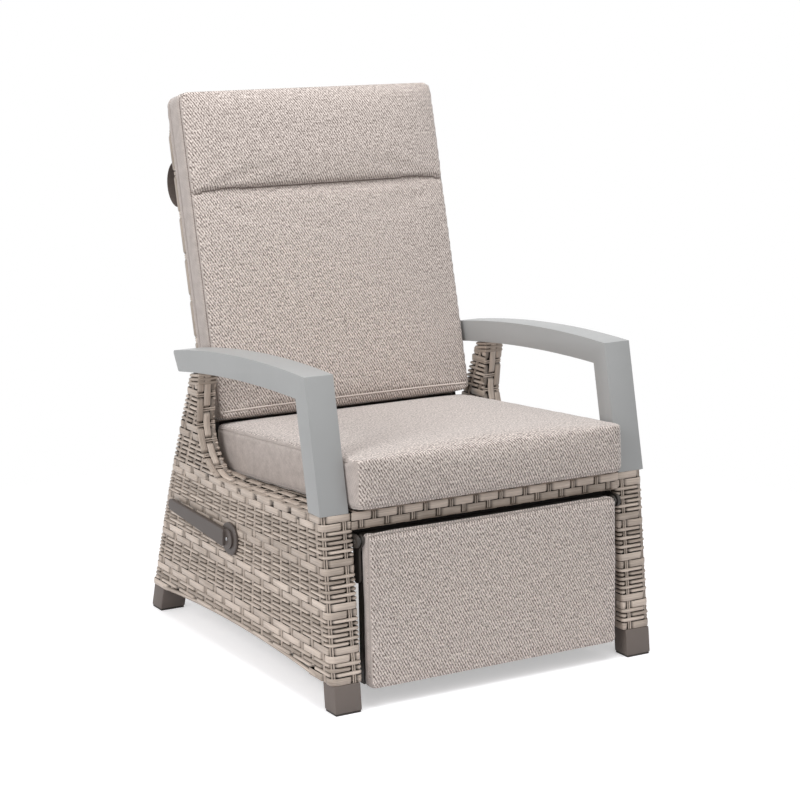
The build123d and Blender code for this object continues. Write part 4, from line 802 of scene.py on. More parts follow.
def woven_side(settings):
    """Strands, stakes, edge strands and the dark inner block of painted shade of the left side."""
    weave = Weave()
    for rank, (level, width, is_flat) in enumerate(row_levels(settings)):
        raised = level > LEG_TOP
        fade = (level - FADE_START) / (LEG_TOP - FADE_START)
        if raised:
            fade = 1.0 - (level - LEG_TOP) / FADE_ABOVE
        fade = min(max(fade, 0.0), 1.0)

        def height(y):
            return level - (top_slope(DIP[0]) if raised else top_slope(y)) * fade

        place = laid(lambda point, _: (point.x, point.y, height(point.y)), Z_WAY,
                     lambda _, normal: (normal.x, normal.y, 0.0))

        def lay(track, places, first=rank, tuck=0.0):
            weave.lay(track, place, row_profile(width, is_flat), track.every_other(places, first), settings.dip,
                      tuck=tuck)

        stakes = [stake_y(number, height(stake_y(number, level, settings)), settings)
                  for number in range(settings.stakes)]
        top = height(FAR_BACK)
        front, rear = leg_front(level), side_rear(top)
        if top > arm_underside(rear) - width / 2:
            continue
        if raised:
            front = top_edge_y(top) + 0.002
            corners = ((SIDE_OUTER - 0.008, front), (SIDE_OUTER, front), (SIDE_OUTER, rear), (POST_INNER, rear),
                       (POST_INNER, front), (POST_INNER + 0.008, front))
            shown = [y for y in stakes if front + 0.007 < y]
            places = [(SIDE_OUTER, y) for y in shown] + [((SIDE_OUTER + POST_INNER) / 2, rear)]
            places += [(POST_INNER, y) for y in reversed(shown)]
            lay(Track(rounded(corners, (0.0, 0.004, 0.012, 0.005, 0.004, 0.0))), places,
                rank + len(stakes) - len(shown), tuck=0.003)
        elif level < ARCH[1][1]:
            gap_front, gap_rear = ARCH[0][0] + 0.030, ARCH[2][0] - 0.034
            for corners in (
                    ((LEG_INNER, gap_front), (LEG_INNER, front), (SIDE_OUTER, front), (SIDE_OUTER, gap_front)),
                    ((SIDE_INNER, rear), (SIDE_INNER, gap_rear), (SIDE_OUTER, gap_rear), (SIDE_OUTER, rear))):
                low, high = corners[1][1], corners[0][1]
                places = [(SIDE_OUTER, y) for y in stakes if low + 0.01 < y < high - 0.01]
                if low == front:
                    places += [(x, front) for x in LEG_STAKES[1:]]
                lay(Track(rounded(corners, (0.005, 0.008, 0.012, 0.005)), closed=True), places)
        else:
            leg_end = front + LEG_DEPTH
            corners = ((SIDE_INNER, 0.0), (SIDE_INNER, leg_end), (LEG_INNER, leg_end), (LEG_INNER, front),
                       (SIDE_OUTER, front), (SIDE_OUTER, rear), (SIDE_INNER, rear))
            places = [(x, front) for x in reversed(LEG_STAKES)] + [(SIDE_OUTER, y) for y in stakes]
            places.append(((SIDE_OUTER + SIDE_INNER) / 2, rear))
            places += [(LEG_INNER if y < leg_end else SIDE_INNER, y) for y in reversed(stakes)]
            lay(Track(rounded(corners, (0.0, 0.002, 0.002, 0.008, 0.012, 0.012, 0.006)), closed=True), places)
    side_stakes(weave, settings)
    edge_strands(weave, settings)
    # Dark blocks of painted shade fill the side, its low part and its leg
    inside = SIDE_OUTER - PAINTED_SHADE_DEPTH
    outline = side_outline()
    low = [point for point in outline if point[1] <= RANK_LOW or point[0] <= DIP[0]]
    low.insert(low.index(DIP) + 1, (side_rear(RANK_LOW), RANK_LOW))
    leg_rear = leg_front(LEG_TOP) + LEG_DEPTH
    leg = ((leg_front(FOOT_TOP), FOOT_TOP), (leg_front(LEG_TOP), LEG_TOP),
           (leg_rear, LEG_TOP - top_slope(leg_rear)),
           (leg_front(FOOT_TOP) + LEG_DEPTH, FOOT_TOP))
    for form, inner in ((outline, POST_INNER), (low, SIDE_INNER), (leg, LEG_INNER)):
        inset_prism(weave, form, inner + PAINTED_SHADE_DEPTH, inside, along_x)
    return weave


def side_stakes(weave, settings):
    """Pairs of stakes up the faces of the side."""
    levels = [FOOT_TOP + 0.001 + step * 0.02 for step in range(26)]
    for number in range(settings.stakes):
        for x, out in ((SIDE_OUTER, 1.0), (SIDE_INNER, -1.0), (POST_INNER, -1.0)):
            line = []
            for z in levels:
                y = stake_y(number, z, settings)
                hidden = out < 0 and (z > RANK_LOW) != (x == POST_INNER)
                if not hidden and arch_height(y) <= z <= side_top(y) - 0.001:
                    line.append((y, z))
            if len(line) > 1:
                if x == SIDE_INNER and line[0][0] < leg_front(line[0][1]) + LEG_DEPTH:
                    x = LEG_INNER
                weave.pair(Track(line), laid(lambda point, _: (x, point.x, point.y),
                                             lambda _, normal: (0.0, normal.x, normal.y), (out, 0.0, 0.0)))
    line = Track([(leg_front(z), z) for z in levels if z < LEG_TOP] + [(leg_front(LEG_TOP), LEG_TOP)])
    for x in LEG_STAKES:
        sunk, turn = (0.0028, 0.35) if x > SIDE_OUTER - 0.01 else (0.0, 0.0)
        weave.pair(line, laid(lambda point, _: (x - sunk * 0.4, point.x + sunk, point.y), (1.0, turn, 0.0),
                              Vector((turn, -1.0, LEG_LEAN)).normalized()))

    def behind(point, _):
        return (SIDE_OUTER + (SIDE_INNER if point.y < RANK_LOW else POST_INNER)) / 2, point.x, point.y

    weave.pair(Track([(side_rear(z), z) for z in levels]), laid(behind, X_WAY, Y_WAY))


# The top edge's strands as (x, width, lift, painted shade), the innermost darkened with painted shade, and how
# far apart the pairs that cross them are
EDGE_COLUMNS = ((0.3462, 0.0140, 0.0, 0.0), (0.3314, 0.0140, 0.0, 0.0), (0.3180, 0.0104, -0.0026, 0.6))
EDGE_TIE = 0.030


def edge_strands(weave, settings):
    """Lengthwise strands on the side's top, the post's front and the arch, with the pairs that cross them."""
    line = [(leg_front(LEG_TOP) + 0.002, LEG_TOP), (-0.2, LEG_TOP - top_slope(-0.2)), DIP, *bend_points(16)]
    top = arm_underside(POST_TOP_Y)
    track = Track(line + [POST_LOW, (POST_TOP_Y, top - 0.001)], side=-1.0)
    stakes = [stake_y(number, RANK_LOW + 0.01, settings) for number in range(settings.stakes)]
    crossings = [track.length_at((y, side_top(y))) for y in stakes if y < BEND[0] - 0.01]
    while crossings[-1] + EDGE_TIE < track.total - 0.03:
        crossings.append(crossings[-1] + EDGE_TIE)
    # The third column lies lower and is darkened with painted shade
    for column, (x, wide, lift, tone_and_painted_shade) in enumerate(EDGE_COLUMNS):
        weave.lay(track, ringed(x), flat_profile(wide), crossings[column % 2::2], settings.dip,
                  lift=lift, tone_and_painted_shade=tone_and_painted_shade)
    low = Track(line[:3] + [(side_rear(RANK_LOW) - 0.001, RANK_LOW)], side=-1.0)
    unders = [length for length in crossings[1::2] if length < low.total - 0.2]
    weave.lay(low, ringed((SIDE_INNER + POST_INNER) / 2), flat_profile(POST_INNER - SIDE_INNER - settings.gap),
              unders, settings.dip)
    for length in crossings:
        spot, out = track.at(length)
        inner = SIDE_INNER if length < track.length_at(DIP) else POST_INNER
        weave.pair(straight(inner + 0.001, SIDE_OUTER - 0.001), laid(
            lambda point, _: (point.x, spot.x, spot.y), (0.0, -out.y, out.x), (0.0, out.x, out.y)))
    for step in range(3):
        z = top - 0.0055 - step * settings.narrow_pitch
        front, rear = top_edge_y(z), side_rear(z)
        corners = ((POST_INNER, rear), (POST_INNER, front), (SIDE_OUTER, front), (SIDE_OUTER, rear))

        def ring(point, _):
            return point.x, point.y, z - 0.006 * ((point.y - front) / (rear - front))

        weave.lay(Track(rounded(corners, (0.004, 0.003, 0.003, 0.008)), closed=True),
                  laid(ring, Z_WAY, lambda _, normal: (normal.x, normal.y, 0.0)),
                  narrow_profile(settings.narrow_pitch - settings.gap), lift=0.0008)
    under = Track(arch_points(ARCH[0][0], ARCH[2][0], 20))
    width = (SIDE_OUTER - POST_INNER) / 3
    for column in range(4):
        weave.lay(under, ringed(SIDE_OUTER - width * (column + 0.5)), flat_profile(width - settings.gap))

    def rim(point, normal):
        return SIDE_OUTER + 0.0002, point.x - normal.x * 0.0042, point.y - normal.y * 0.0042

    weave.lay(under, laid(rim, lambda _, normal: (0.0, normal.x, normal.y), X_WAY), narrow_profile(0.0076))


def mirrored(piece, name):
    """A copy of a piece on the other side of the middle."""
    mesh = bmesh.new()
    mesh.from_mesh(piece.data)
    bmesh.ops.scale(mesh, vec=(-1.0, 1.0, 1.0), verts=mesh.verts)
    bmesh.ops.reverse_faces(mesh, faces=mesh.faces)
    return new_piece(name, mesh, *piece.data.materials)


# Leaning places of the seat, the back and the footrest

def leaning_place(origin, lean):
    """Matrix from (across, up, out to the front) of a leaning panel to the frame."""
    up = Vector((0.0, math.sin(lean), math.cos(lean)))
    out = Vector((0.0, -math.cos(lean), math.sin(lean)))
    turn = Matrix((Vector(X_WAY), up, out)).transposed().to_4x4()
    return Matrix.Translation(origin) @ turn


BACK_PLACE = leaning_place(BACK_PIVOT, BACK_LEAN)
FOOTREST_PLACE = leaning_place(FOOTREST_PIVOT, FOOTREST_LEAN)
SEAT_PLACE = Matrix.Translation(SEAT_ORIGIN) @ Matrix.Rotation(-SEAT_SLOPE, 4, "X")

# The woven back on its leaning place, and the strands along its edge
BACK_HALF = 0.2866
BACK_LOW = 0.084
BACK_HIGH = 0.722
BACK_THICK = 0.0135
BACK_CORNER = 0.0615
BACK_SEAM = 0.0193
BACK_TIE = 0.042
BACK_EDGE_APART = 0.0066
BACK_EDGE_WIDTH = 0.0124


def level_pattern(settings, low, high):
    """Heights of rows between two ends: two flats, six half-rounds and so on."""
    rows = []
    place = low
    while True:
        for count, pitch, is_flat in ((2, settings.flat_pitch, True), (6, settings.narrow_pitch, False)):
            for _ in range(count):
                if place + pitch > high:
                    return rows
                rows.append((place + pitch / 2, pitch - settings.gap, is_flat))
                place += pitch


def back_half_width(u):
    """Half width of the woven back at a height, with its rounded top corners."""
    above = max(u - (BACK_HIGH - BACK_CORNER), 0.0)
    return BACK_HALF - BACK_CORNER + math.sqrt(max(BACK_CORNER ** 2 - above ** 2, 0.0))


def back_edge():
    """The back's edge from its lower right over the top to its lower left, as (across, up) points."""
    line = [(BACK_HALF, BACK_LOW + 0.001), (BACK_HALF, BACK_HIGH - BACK_CORNER)]
    for step in range(1, 10):
        turn = math.radians(9.0 * step)
        line.append((BACK_HALF - BACK_CORNER * (1 - math.cos(turn)),
                     BACK_HIGH - BACK_CORNER * (1 - math.sin(turn))))
    line.append((BACK_HALF - BACK_CORNER, BACK_HIGH))
    return line + [(-x, u) for x, u in reversed(line)]


def woven_back(settings):
    """Rows round the back's frame, stakes on its faces and strands along its edge."""
    weave = Weave()
    spots = spread(0.27, 14)
    for rank, (level, width, is_flat) in enumerate(level_pattern(settings, BACK_LOW, BACK_HIGH - 0.003)):
        half = back_half_width(level)
        corners = ((half, -BACK_THICK), (half, BACK_THICK), (-half, BACK_THICK), (-half, -BACK_THICK))
        track = Track([(BACK_SEAM, -BACK_THICK)] + rounded(corners, (0.006,) * 4), closed=True)
        unders = []
        for face in (-BACK_THICK, BACK_THICK):
            for number, x in enumerate(spots):
                if (number + rank + (face > 0)) % 2 == 0 and abs(x) < half - 0.012:
                    unders.append(track.length_at((x, face)))
        weave.lay(track, laid(lambda point, _: (point.x, level, point.y), Y_WAY,
                              lambda _, normal: (normal.x, 0.0, normal.y), BACK_PLACE),
                  row_profile(width, is_flat), unders, settings.dip)
    for x in spots:
        high = BACK_HIGH - (0.002 if abs(x) < BACK_HALF - BACK_CORNER else 0.030)
        for face in (-1.0, 1.0):
            weave.pair(straight(BACK_LOW + 0.001, high), laid(
                lambda point, _: (x, point.x, face * BACK_THICK), X_WAY, (0.0, 0.0, face), BACK_PLACE))
    line = back_edge()
    track = Track(line)
    ties = [0.03 + BACK_TIE * step for step in range(int((track.total - 0.05) / BACK_TIE))]
    for side, w in enumerate((-BACK_EDGE_APART, BACK_EDGE_APART)):
        weave.lay(track, laid(lambda point, _: (point.x, point.y, w), Z_WAY,
                              lambda _, normal: (normal.x, normal.y, 0.0), BACK_PLACE),
                  flat_profile(BACK_EDGE_WIDTH), ties[side::2], 0.0026, lift=0.0012)
    for tie in ties:
        spot, out = track.at(tie)
        place = laid(lambda point, _: (spot.x, spot.y, point.x), (-out.y, out.x, 0.0), (out.x, out.y, 0.0),
                     BACK_PLACE)
        weave.pair(straight(-0.0125, 0.0125), place, lift=-0.0006)
    # A dark block of painted shade fills the back's weave
    inset_prism(weave, line, -BACK_THICK + PAINTED_SHADE_DEPTH, BACK_THICK - PAINTED_SHADE_DEPTH,
                lambda x, u, w: BACK_PLACE @ Vector((x, u, w)))
    return weave


# Woven rails and deck

RAIL_OVERLAP = 0.0036
RAIL_SHORT = -0.001


def bar_corners(node):
    """The lower and upper corner of a bar's box, and its four corners in the plane of Y and Z."""
    low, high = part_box(node)
    return low, high, ((low.y, low.z), (high.y, low.z), (high.y, high.z), (low.y, high.z))


def woven_rail(settings):
    """Front rail under the seat cushion: two flat strands on each face over ringed stakes."""
    weave = Weave()
    _, high, corners = bar_corners("front_rail_weave")
    half = high.x
    ring = Track(rounded(corners, (0.004, 0.004, 0.004, 0.006)), closed=True)
    spots = [-0.272 + 0.0272 * step for step in range(21)]
    faces = ((corners[0], corners[3], (0.0, -1.0, 0.0)), (corners[3], corners[2], Z_WAY),
             (corners[2], corners[1], Y_WAY), (corners[1], corners[0], (0.0, 0.0, -1.0)))
    for number, (start, end, out) in enumerate(faces):
        start, end = Vector((0.0, *start)), Vector((0.0, *end))
        way = (end - start).normalized()
        width = (end - start).length / 2
        reach = half + (RAIL_SHORT if number else RAIL_OVERLAP)
        track = straight(-reach, reach)
        for column in range(2):
            middle = start + way * width * (column + 0.5)
            unders = track.every_other([(x, 0.0) for x in spots], column)
            weave.lay(track, laid(lambda point, _: (point.x, middle.y, middle.z), way, out),
                      flat_profile(width - settings.gap - 0.0006), unders, settings.dip)
    for x in spots:
        weave.pair(ring, ringed(x))
    # A dark block of painted shade fills the rail's weave
    inset_prism(weave, corners, -half - RAIL_SHORT, half + RAIL_SHORT, along_x)
    return weave


def wrapped_crossbar(settings):
    """Rear crossbar wound with one flat strand."""
    weave = Weave()
    low, high, corners = bar_corners("rear_crossbar_weave")
    ring = Track(rounded(corners, (0.005,) * 4), closed=True)
    count = int((high.x - low.x - 0.004) / settings.flat_pitch)
    pitch = (high.x - low.x - 0.004) / count
    for number in range(count):
        weave.lay(ring, ringed(low.x + 0.002 + pitch * (number + 0.5)), flat_profile(pitch - settings.gap))
    return weave


# The deck on the seat's leaning place: its half width, its ends and its middle plane
DECK_HALF = 0.2885
DECK_FRONT = 0.0195
DECK_REAR = 0.5115
DECK_MIDDLE = -0.004


def woven_deck(settings):
    """Seat deck of flat strands across, over stakes from front to back."""
    weave = Weave()
    count = int((DECK_REAR - DECK_FRONT) / settings.flat_pitch)
    pitch = (DECK_REAR - DECK_FRONT) / count
    spots = spread(0.27, 12)
    track = straight(-DECK_HALF, DECK_HALF)
    for rank in range(count):
        y = DECK_FRONT + pitch * (rank + 0.5)
        unders = track.every_other([(x, 0.0) for x in spots], rank)
        weave.lay(track, laid(lambda point, _: (point.x, y, DECK_MIDDLE), Y_WAY, Z_WAY, SEAT_PLACE),
                  flat_profile(pitch - 0.0012), unders, 0.0036, lift=0.0028)
    for x in spots:
        weave.pair(straight(DECK_FRONT, DECK_REAR),
                   laid(lambda point, _: (x, point.x, DECK_MIDDLE), X_WAY, Z_WAY, SEAT_PLACE), lift=0.0008)
    return weave


# Cushions

VOXEL = 0.006
CROWN_POWER = 6
CAP = 0.012
PIN_REACH = 0.011
SWELL_FRAMES = 20

# The back cushion's rear rim goes back by LIP round the woven back's edge
LIP = 0.017


def bake_modifiers(piece):
    """Turns the piece's mesh with its modifiers into its mesh."""
    graph = bpy.context.evaluated_depsgraph_get()
    mesh = bpy.data.meshes.new_from_object(piece.evaluated_get(graph))
    piece.modifiers.clear()
    old = piece.data
    piece.data = mesh
    bpy.data.meshes.remove(old)


def changed(piece, kind, **settings):
    """Applies one modifier to a piece."""
    modifier = piece.modifiers.new(kind.title(), kind)
    for key, value in settings.items():
        setattr(modifier, key, value)
    bake_modifiers(piece)


def round_edges(mesh, edges, width, segments, clamp=False):
    bmesh.ops.bevel(mesh, geom=edges, offset=width, offset_type="OFFSET", segments=segments, affect="EDGES",
                    profile=0.5, material=-1, clamp_overlap=clamp)


def boxed(name, place, low, high, corner, roll=0.0):
    """A plain block between two local corners, its upright edges rounded and its lower front edge rolled."""
    low, high = Vector(low), Vector(high)
    mesh = bmesh.new()
    bmesh.ops.create_cube(mesh, size=1.0)
    bmesh.ops.scale(mesh, vec=high - low, verts=mesh.verts)
    bmesh.ops.translate(mesh, vec=(low + high) / 2, verts=mesh.verts)
    tall = 0.5 * (high.z - low.z)
    uprights = [edge for edge in mesh.edges if abs(edge.verts[0].co.z - edge.verts[1].co.z) > tall]
    round_edges(mesh, uprights, corner, 6)
    if roll:
        front = [edge for edge in mesh.edges
                 if all(vert.co.z > high.z - 1e-5 and vert.co.y < low.y + 1e-5 for vert in edge.verts)]
        round_edges(mesh, front, roll, 6)
    mesh.transform(place)
    return new_piece(name, mesh)


def reshape(piece, place, move):
    """Moves each point of a piece by a function of its spot on a leaning place."""
    inverse = place.inverted()
    for vert in piece.data.vertices:
        vert.co = place @ move(inverse @ vert.co)


def share_of(value, low, high):
    """How far a value is from low to high, from 0 to 1."""
    return min(max((value - low) / (high - low), 0.0), 1.0)


def crown_share(spot, half, low, high):
    """How far a panel has risen at a place, from 0 at its seams to 1 over most of its middle."""
    across = min(abs(spot.x) / half, 1.0)
    along = min(abs(2 * spot.y - low - high) / (high - low), 1.0)
    return (1.0 - across ** CROWN_POWER) * (1.0 - along ** CROWN_POWER)


def swollen(name, place, low, high, corner, panels, rims, limits, roll=0.0, lip=False):
    """A padded piece: a boxed form remeshed, crowned panel by panel and swollen as cloth between its seams."""
    piece = boxed(name, place, low, high, corner, roll)

    def crowned(spot):
        rise = max(crown * crown_share(spot, high[0], *ends) for *ends, crown in panels)
        spot.z += rise * share_of(spot.z, low[2], high[2]) ** 3
        return spot

    def drawn_back(spot):
        rim = max((abs(spot.x) - (high[0] - 0.0062)) / 0.004, (spot.y - (high[1] - 0.0100)) / 0.006)
        share = min(max(rim, 0.0), 1.0) * (1.0 - share_of(spot.z, low[2], low[2] + 0.022))
        spot.z -= LIP * share * share_of(spot.y, 0.110, 0.130)
        return spot

    def limited(spot):
        return Vector([min(max(value, least), most) for value, (least, most) in zip(spot, limits)])

    changed(piece, "REMESH", mode="VOXEL", voxel_size=VOXEL)
    changed(piece, "SMOOTH", iterations=1)
    reshape(piece, place, crowned)
    if lip:
        reshape(piece, place, drawn_back)
    pin_seams(piece, rims)
    swell(piece)
    reshape(piece, place, limited)
    changed(piece, "SMOOTH", iterations=1, factor=0.4)
    changed(piece, "SUBSURF", levels=1, render_levels=1)
    return piece


def near_points(points):
    """A search tree of points."""
    tree = KDTree(len(points))
    for number, point in enumerate(points):
        tree.insert(point, number)
    tree.balance()
    return tree


def pin_seams(piece, rims):
    """Holds the cloth along its seams, as the piping of a boxed cushion does."""
    tree = near_points([point for rim in rims for point in rim])
    held = [vert.index for vert in piece.data.vertices if tree.find(vert.co)[2] < PIN_REACH]
    piece.vertex_groups.new(name="seams").add(held, 1.0, "REPLACE")


def swell(piece):
    """Cloth under pressure, with each point's way capped."""
    before = [vert.co.copy() for vert in piece.data.vertices]
    cloth = piece.modifiers.new("Filling", "CLOTH")
    for key, value in (("quality", 5), ("mass", 0.3), ("use_pressure", True),
                       ("uniform_pressure_force", fabric_settings().pressure), ("tension_stiffness", 40.0),
                       ("compression_stiffness", 40.0), ("shear_stiffness", 20.0), ("bending_stiffness", 4.0),
                       ("vertex_group_mass", "seams")):
        setattr(cloth.settings, key, value)
    cloth.settings.effector_weights.gravity = 0.0
    cloth.collision_settings.use_collision = False
    cloth.point_cache.frame_start = 1
    cloth.point_cache.frame_end = SWELL_FRAMES
    for step in range(1, SWELL_FRAMES + 1):
        bpy.context.scene.frame_set(step)
    bake_modifiers(piece)
    bpy.context.scene.frame_set(1)
    for vert, start in zip(piece.data.vertices, before):
        move = vert.co - start
        if move.length > CAP:
            vert.co = start + move.normalized() * CAP


def cloth_map(piece, place):
    """Lays the cloth's map flat on each panel of a cushion, by the way the panel faces."""
    inverse = place.inverted()
    mesh = piece.data
    for layer in list(mesh.uv_layers):
        mesh.uv_layers.remove(layer)
    layer = mesh.uv_layers.new(name="cloth")
    spots = [inverse @ vert.co for vert in mesh.vertices]
    turned = inverse.to_3x3()
    places = []
    for face in mesh.polygons:
        way = turned @ face.normal
        reach = (abs(way.x), abs(way.y), abs(way.z) * 1.25)
        axis = reach.index(max(reach))
        first, second = ((1, 2), (0, 2), (0, 1))[axis]
        for vert in face.vertices:
            places += (spots[vert][first] + 2.0 * axis, spots[vert][second])
    layer.data.foreach_set("uv", places)
    mesh.polygons.foreach_set("use_smooth", [True] * len(mesh.polygons))


def surface_of(piece):
    return BVHTree.FromPolygons([vert.co for vert in piece.data.vertices],
                                [tuple(face.vertices) for face in piece.data.polygons])


def on_surface(tree, points, proud=0.0):
    """The nearest points of a surface, with its normals."""
    return [(spot + normal * proud, normal) for spot, normal, _, _ in map(tree.find_nearest, points)]


def groove(piece, line, width, depth):
    """Draws a piece's surface in along a line of points, as a seam does."""
    tree = near_points(line)
    moves = []
    for vert in piece.data.vertices:
        away = tree.find(vert.co)[2]
        if away < width:
            share = 0.5 + 0.5 * math.cos(math.pi * away / width)
            moves.append((vert, vert.normal * (depth * share)))
    for vert, move in moves:
        vert.co -= move


def cord_piece(name, points, radius, material, closed=True):
    """Piping or thread: a small round strand along points with their normals."""
    weave = Weave()
    turns = [math.radians(turn) for turn in range(0, 360, 60)]
    count = len(points)
    sections = []
    length = 0.0
    for number, (point, normal) in enumerate(points):
        after = points[(number + 1) % count][0] if closed or number < count - 1 else point
        before = points[number - 1][0] if closed or number else point
        side = (after - before).normalized().cross(normal).normalized()
        sections.append((point, side, normal, length, 0.0))
        length += (after - point).length
    if not closed:
        sections = capped(sections)
    weave.sweep(sections, [(radius * math.cos(turn), radius * math.sin(turn)) for turn in turns], closed)
    return weave.finish(name, material)


def rim_points(place, rim, level, start=None, count=360):
    """Points of a rounded rectangle on a level of a leaning place, or of its part beyond a start."""
    half, low, high, radius = rim
    corners = ((half, low), (half, high), (-half, high), (-half, low))
    track = Track(rounded(corners, (radius,) * 4, steps=8), closed=True)
    spots = [track.at(track.total * number / count)[0] for number in range(count)]
    return [place @ Vector((spot.x, spot.y, level)) for spot in spots if start is None or spot.y > start]


def seamed(piece, name, rim, material, body, closed=True, radius=0.0011, width=0.007, depth=0.0022):
    """Grooves a cushion along a rim and lays piping in the groove."""
    line = [spot for spot, _ in on_surface(surface_of(piece), rim)]
    groove(piece, line, width, depth)
    piece.data.update()
    cord = cord_piece(name, on_surface(surface_of(piece), line, radius * 0.3), radius, material, closed)
    declare(cord, body, "cushion")


def upholster(piece, place, body, node):
    """Lays the cloth on a cushion and ties it to its body and its CAD node."""
    cloth_map(piece, place)
    piece.data.materials.append(kept_material("cushion_cloth", fabric_material, fabric_settings()))
    declare(piece, body, "cushion", node)


# Rigid pieces

FLAT_ENOUGH = math.radians(0.6)
CRISP = math.radians(28.0)
SHARP = math.radians(32.0)


def merged_copy(node, name):
    """A copy of a CAD node as a new piece, with the points that lie on one another merged."""
    shape = frame["nodes"][node]
    mesh = bmesh.new()
    mesh.from_mesh(shape.data)
    mesh.transform(shape.matrix_world)
    bmesh.ops.remove_doubles(mesh, verts=mesh.verts, dist=1e-5)
    return new_piece(name, mesh)


def crisp_copy(node, name, material, width):
    """A merged copy of a CAD node with small rounded edges."""
    piece = merged_copy(node, name)
    mesh = bmesh.new()
    mesh.from_mesh(piece.data)
    bmesh.ops.dissolve_limit(mesh, angle_limit=FLAT_ENOUGH, verts=mesh.verts, edges=mesh.edges)
    edges = [edge for edge in mesh.edges if edge.is_manifold and edge.calc_face_angle(0.0) > CRISP]
    round_edges(mesh, edges, width, 3, clamp=True)
    for face in mesh.faces:
        face.smooth = True
    mesh.to_mesh(piece.data)
    mesh.free()
    piece.data.set_sharp_from_angle(angle=SHARP)
    piece.data.materials.append(material)
    declare(piece, body_of(node), slot_of(node), node)


def body_of(node):
    """Name of the body that a node belongs to."""
    return next(name for name, nodes in frame["record"]["behaviour"]["bodies"].items() if node in nodes)


def slot_of(node):
    """Material slot of a node in the record."""
    return next(part["material_slot"] for part in frame["record"]["subparts"] if part["node"] == node)


def declare(piece, body, slot, *nodes):
    """Ties a new piece to its body and the CAD nodes that it stands for; the slot is not used."""
    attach(piece, body)
    if nodes:
        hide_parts(*nodes)


# Operators

class ARMCHAIR_OT_sides(bpy.types.Operator):
    """Weaves both sides over a dark inner block of painted shade"""

    bl_idname = "armchair.sides"
    bl_label = "Woven Sides"

    def execute(self, context):
        left = woven_side(weave_settings()).finish("side_strands_left", *strand_materials())
        right = mirrored(left, "side_strands_right")
        declare(left, "base", "wicker", "side_weave_left")
        declare(right, "base", "wicker", "side_weave_right")
        return {"FINISHED"}


class ARMCHAIR_OT_rails(bpy.types.Operator):
    """Weaves the front rail, the rear crossbar and the seat deck"""

    bl_idname = "armchair.rails"
    bl_label = "Woven Rails and Deck"

    def execute(self, context):
        strand, core = strand_materials()
        rail = woven_rail(weave_settings()).finish("front_rail_strands", strand, core)
        bar = wrapped_crossbar(weave_settings()).finish("rear_crossbar_strands", strand)
        deck = woven_deck(weave_settings()).finish("seat_deck_strands", strand)
        declare(rail, "base", "wicker", "front_rail_weave")
        declare(bar, "base", "wicker", "rear_crossbar_weave")
        declare(deck, "base", "wicker", "seat_deck")
        return {"FINISHED"}


class ARMCHAIR_OT_back(bpy.types.Operator):
    """Weaves the back round its frame"""

    bl_idname = "armchair.back"
    bl_label = "Woven Back"

    def execute(self, context):
        back = woven_back(weave_settings()).finish("back_strands", *strand_materials())
        declare(back, "backrest", "wicker", "back_weave")
        return {"FINISHED"}


# Each cushion on its leaning place: the block it swells from, by its lower and upper corner, the room it
# has as (least, most) across, up and out, and its rim as (half width, low, high, corner radius)
SEAT_BLOCK = ((-0.2932, -0.0420, 0.0006), (0.2932, 0.5290, 0.0920))
SEAT_ROOM = ((-0.2952, 0.2952), (-0.0460, 0.5310), (0.0003, 0.1080))
SEAT_RIM = (0.2915, -0.0405, 0.5275, 0.018)
BACK_BLOCK = ((-0.2935, 0.0865, 0.0142), (0.2935, 0.7395, 0.0700))
BACK_ROOM = ((-0.2952, 0.2952), (0.0858, 0.7445), (0.0139 - LIP, 0.0980))
BACK_RIM = (0.2915, 0.0885, 0.7375, 0.018)
BACK_CHANNEL = 0.5340
PAD_BLOCK = ((-0.2740, -0.2750, -0.0090), (0.2740, 0.0130, 0.0220))
PAD_ROOM = ((-0.2752, 0.2752), (-0.2765, 0.0135), (-0.0092, 0.0320))
PAD_RIM = (0.2722, -0.2732, 0.0112, 0.010)


class ARMCHAIR_OT_seat_cushion(bpy.types.Operator):
    """Swells the seat cushion and sews its seams"""

    bl_idname = "armchair.seat_cushion"
    bl_label = "Seat Cushion"

    def execute(self, context):
        upper = rim_points(SEAT_PLACE, SEAT_RIM, 0.086, start=-0.006)
        lower = rim_points(SEAT_PLACE, SEAT_RIM, 0.006)
        piece = swollen("seat_pad", SEAT_PLACE, *SEAT_BLOCK, 0.020, ((-0.0420, 0.5290, 0.010),), (upper, lower),
                        SEAT_ROOM, roll=0.030)
        seamed(piece, "seat_pad_piping", lower, cushion_trim(), "base")
        seamed(piece, "seat_pad_seam", upper, cushion_trim(), "base", closed=False)
        upholster(piece, SEAT_PLACE, "base", "seat_cushion")
        return {"FINISHED"}


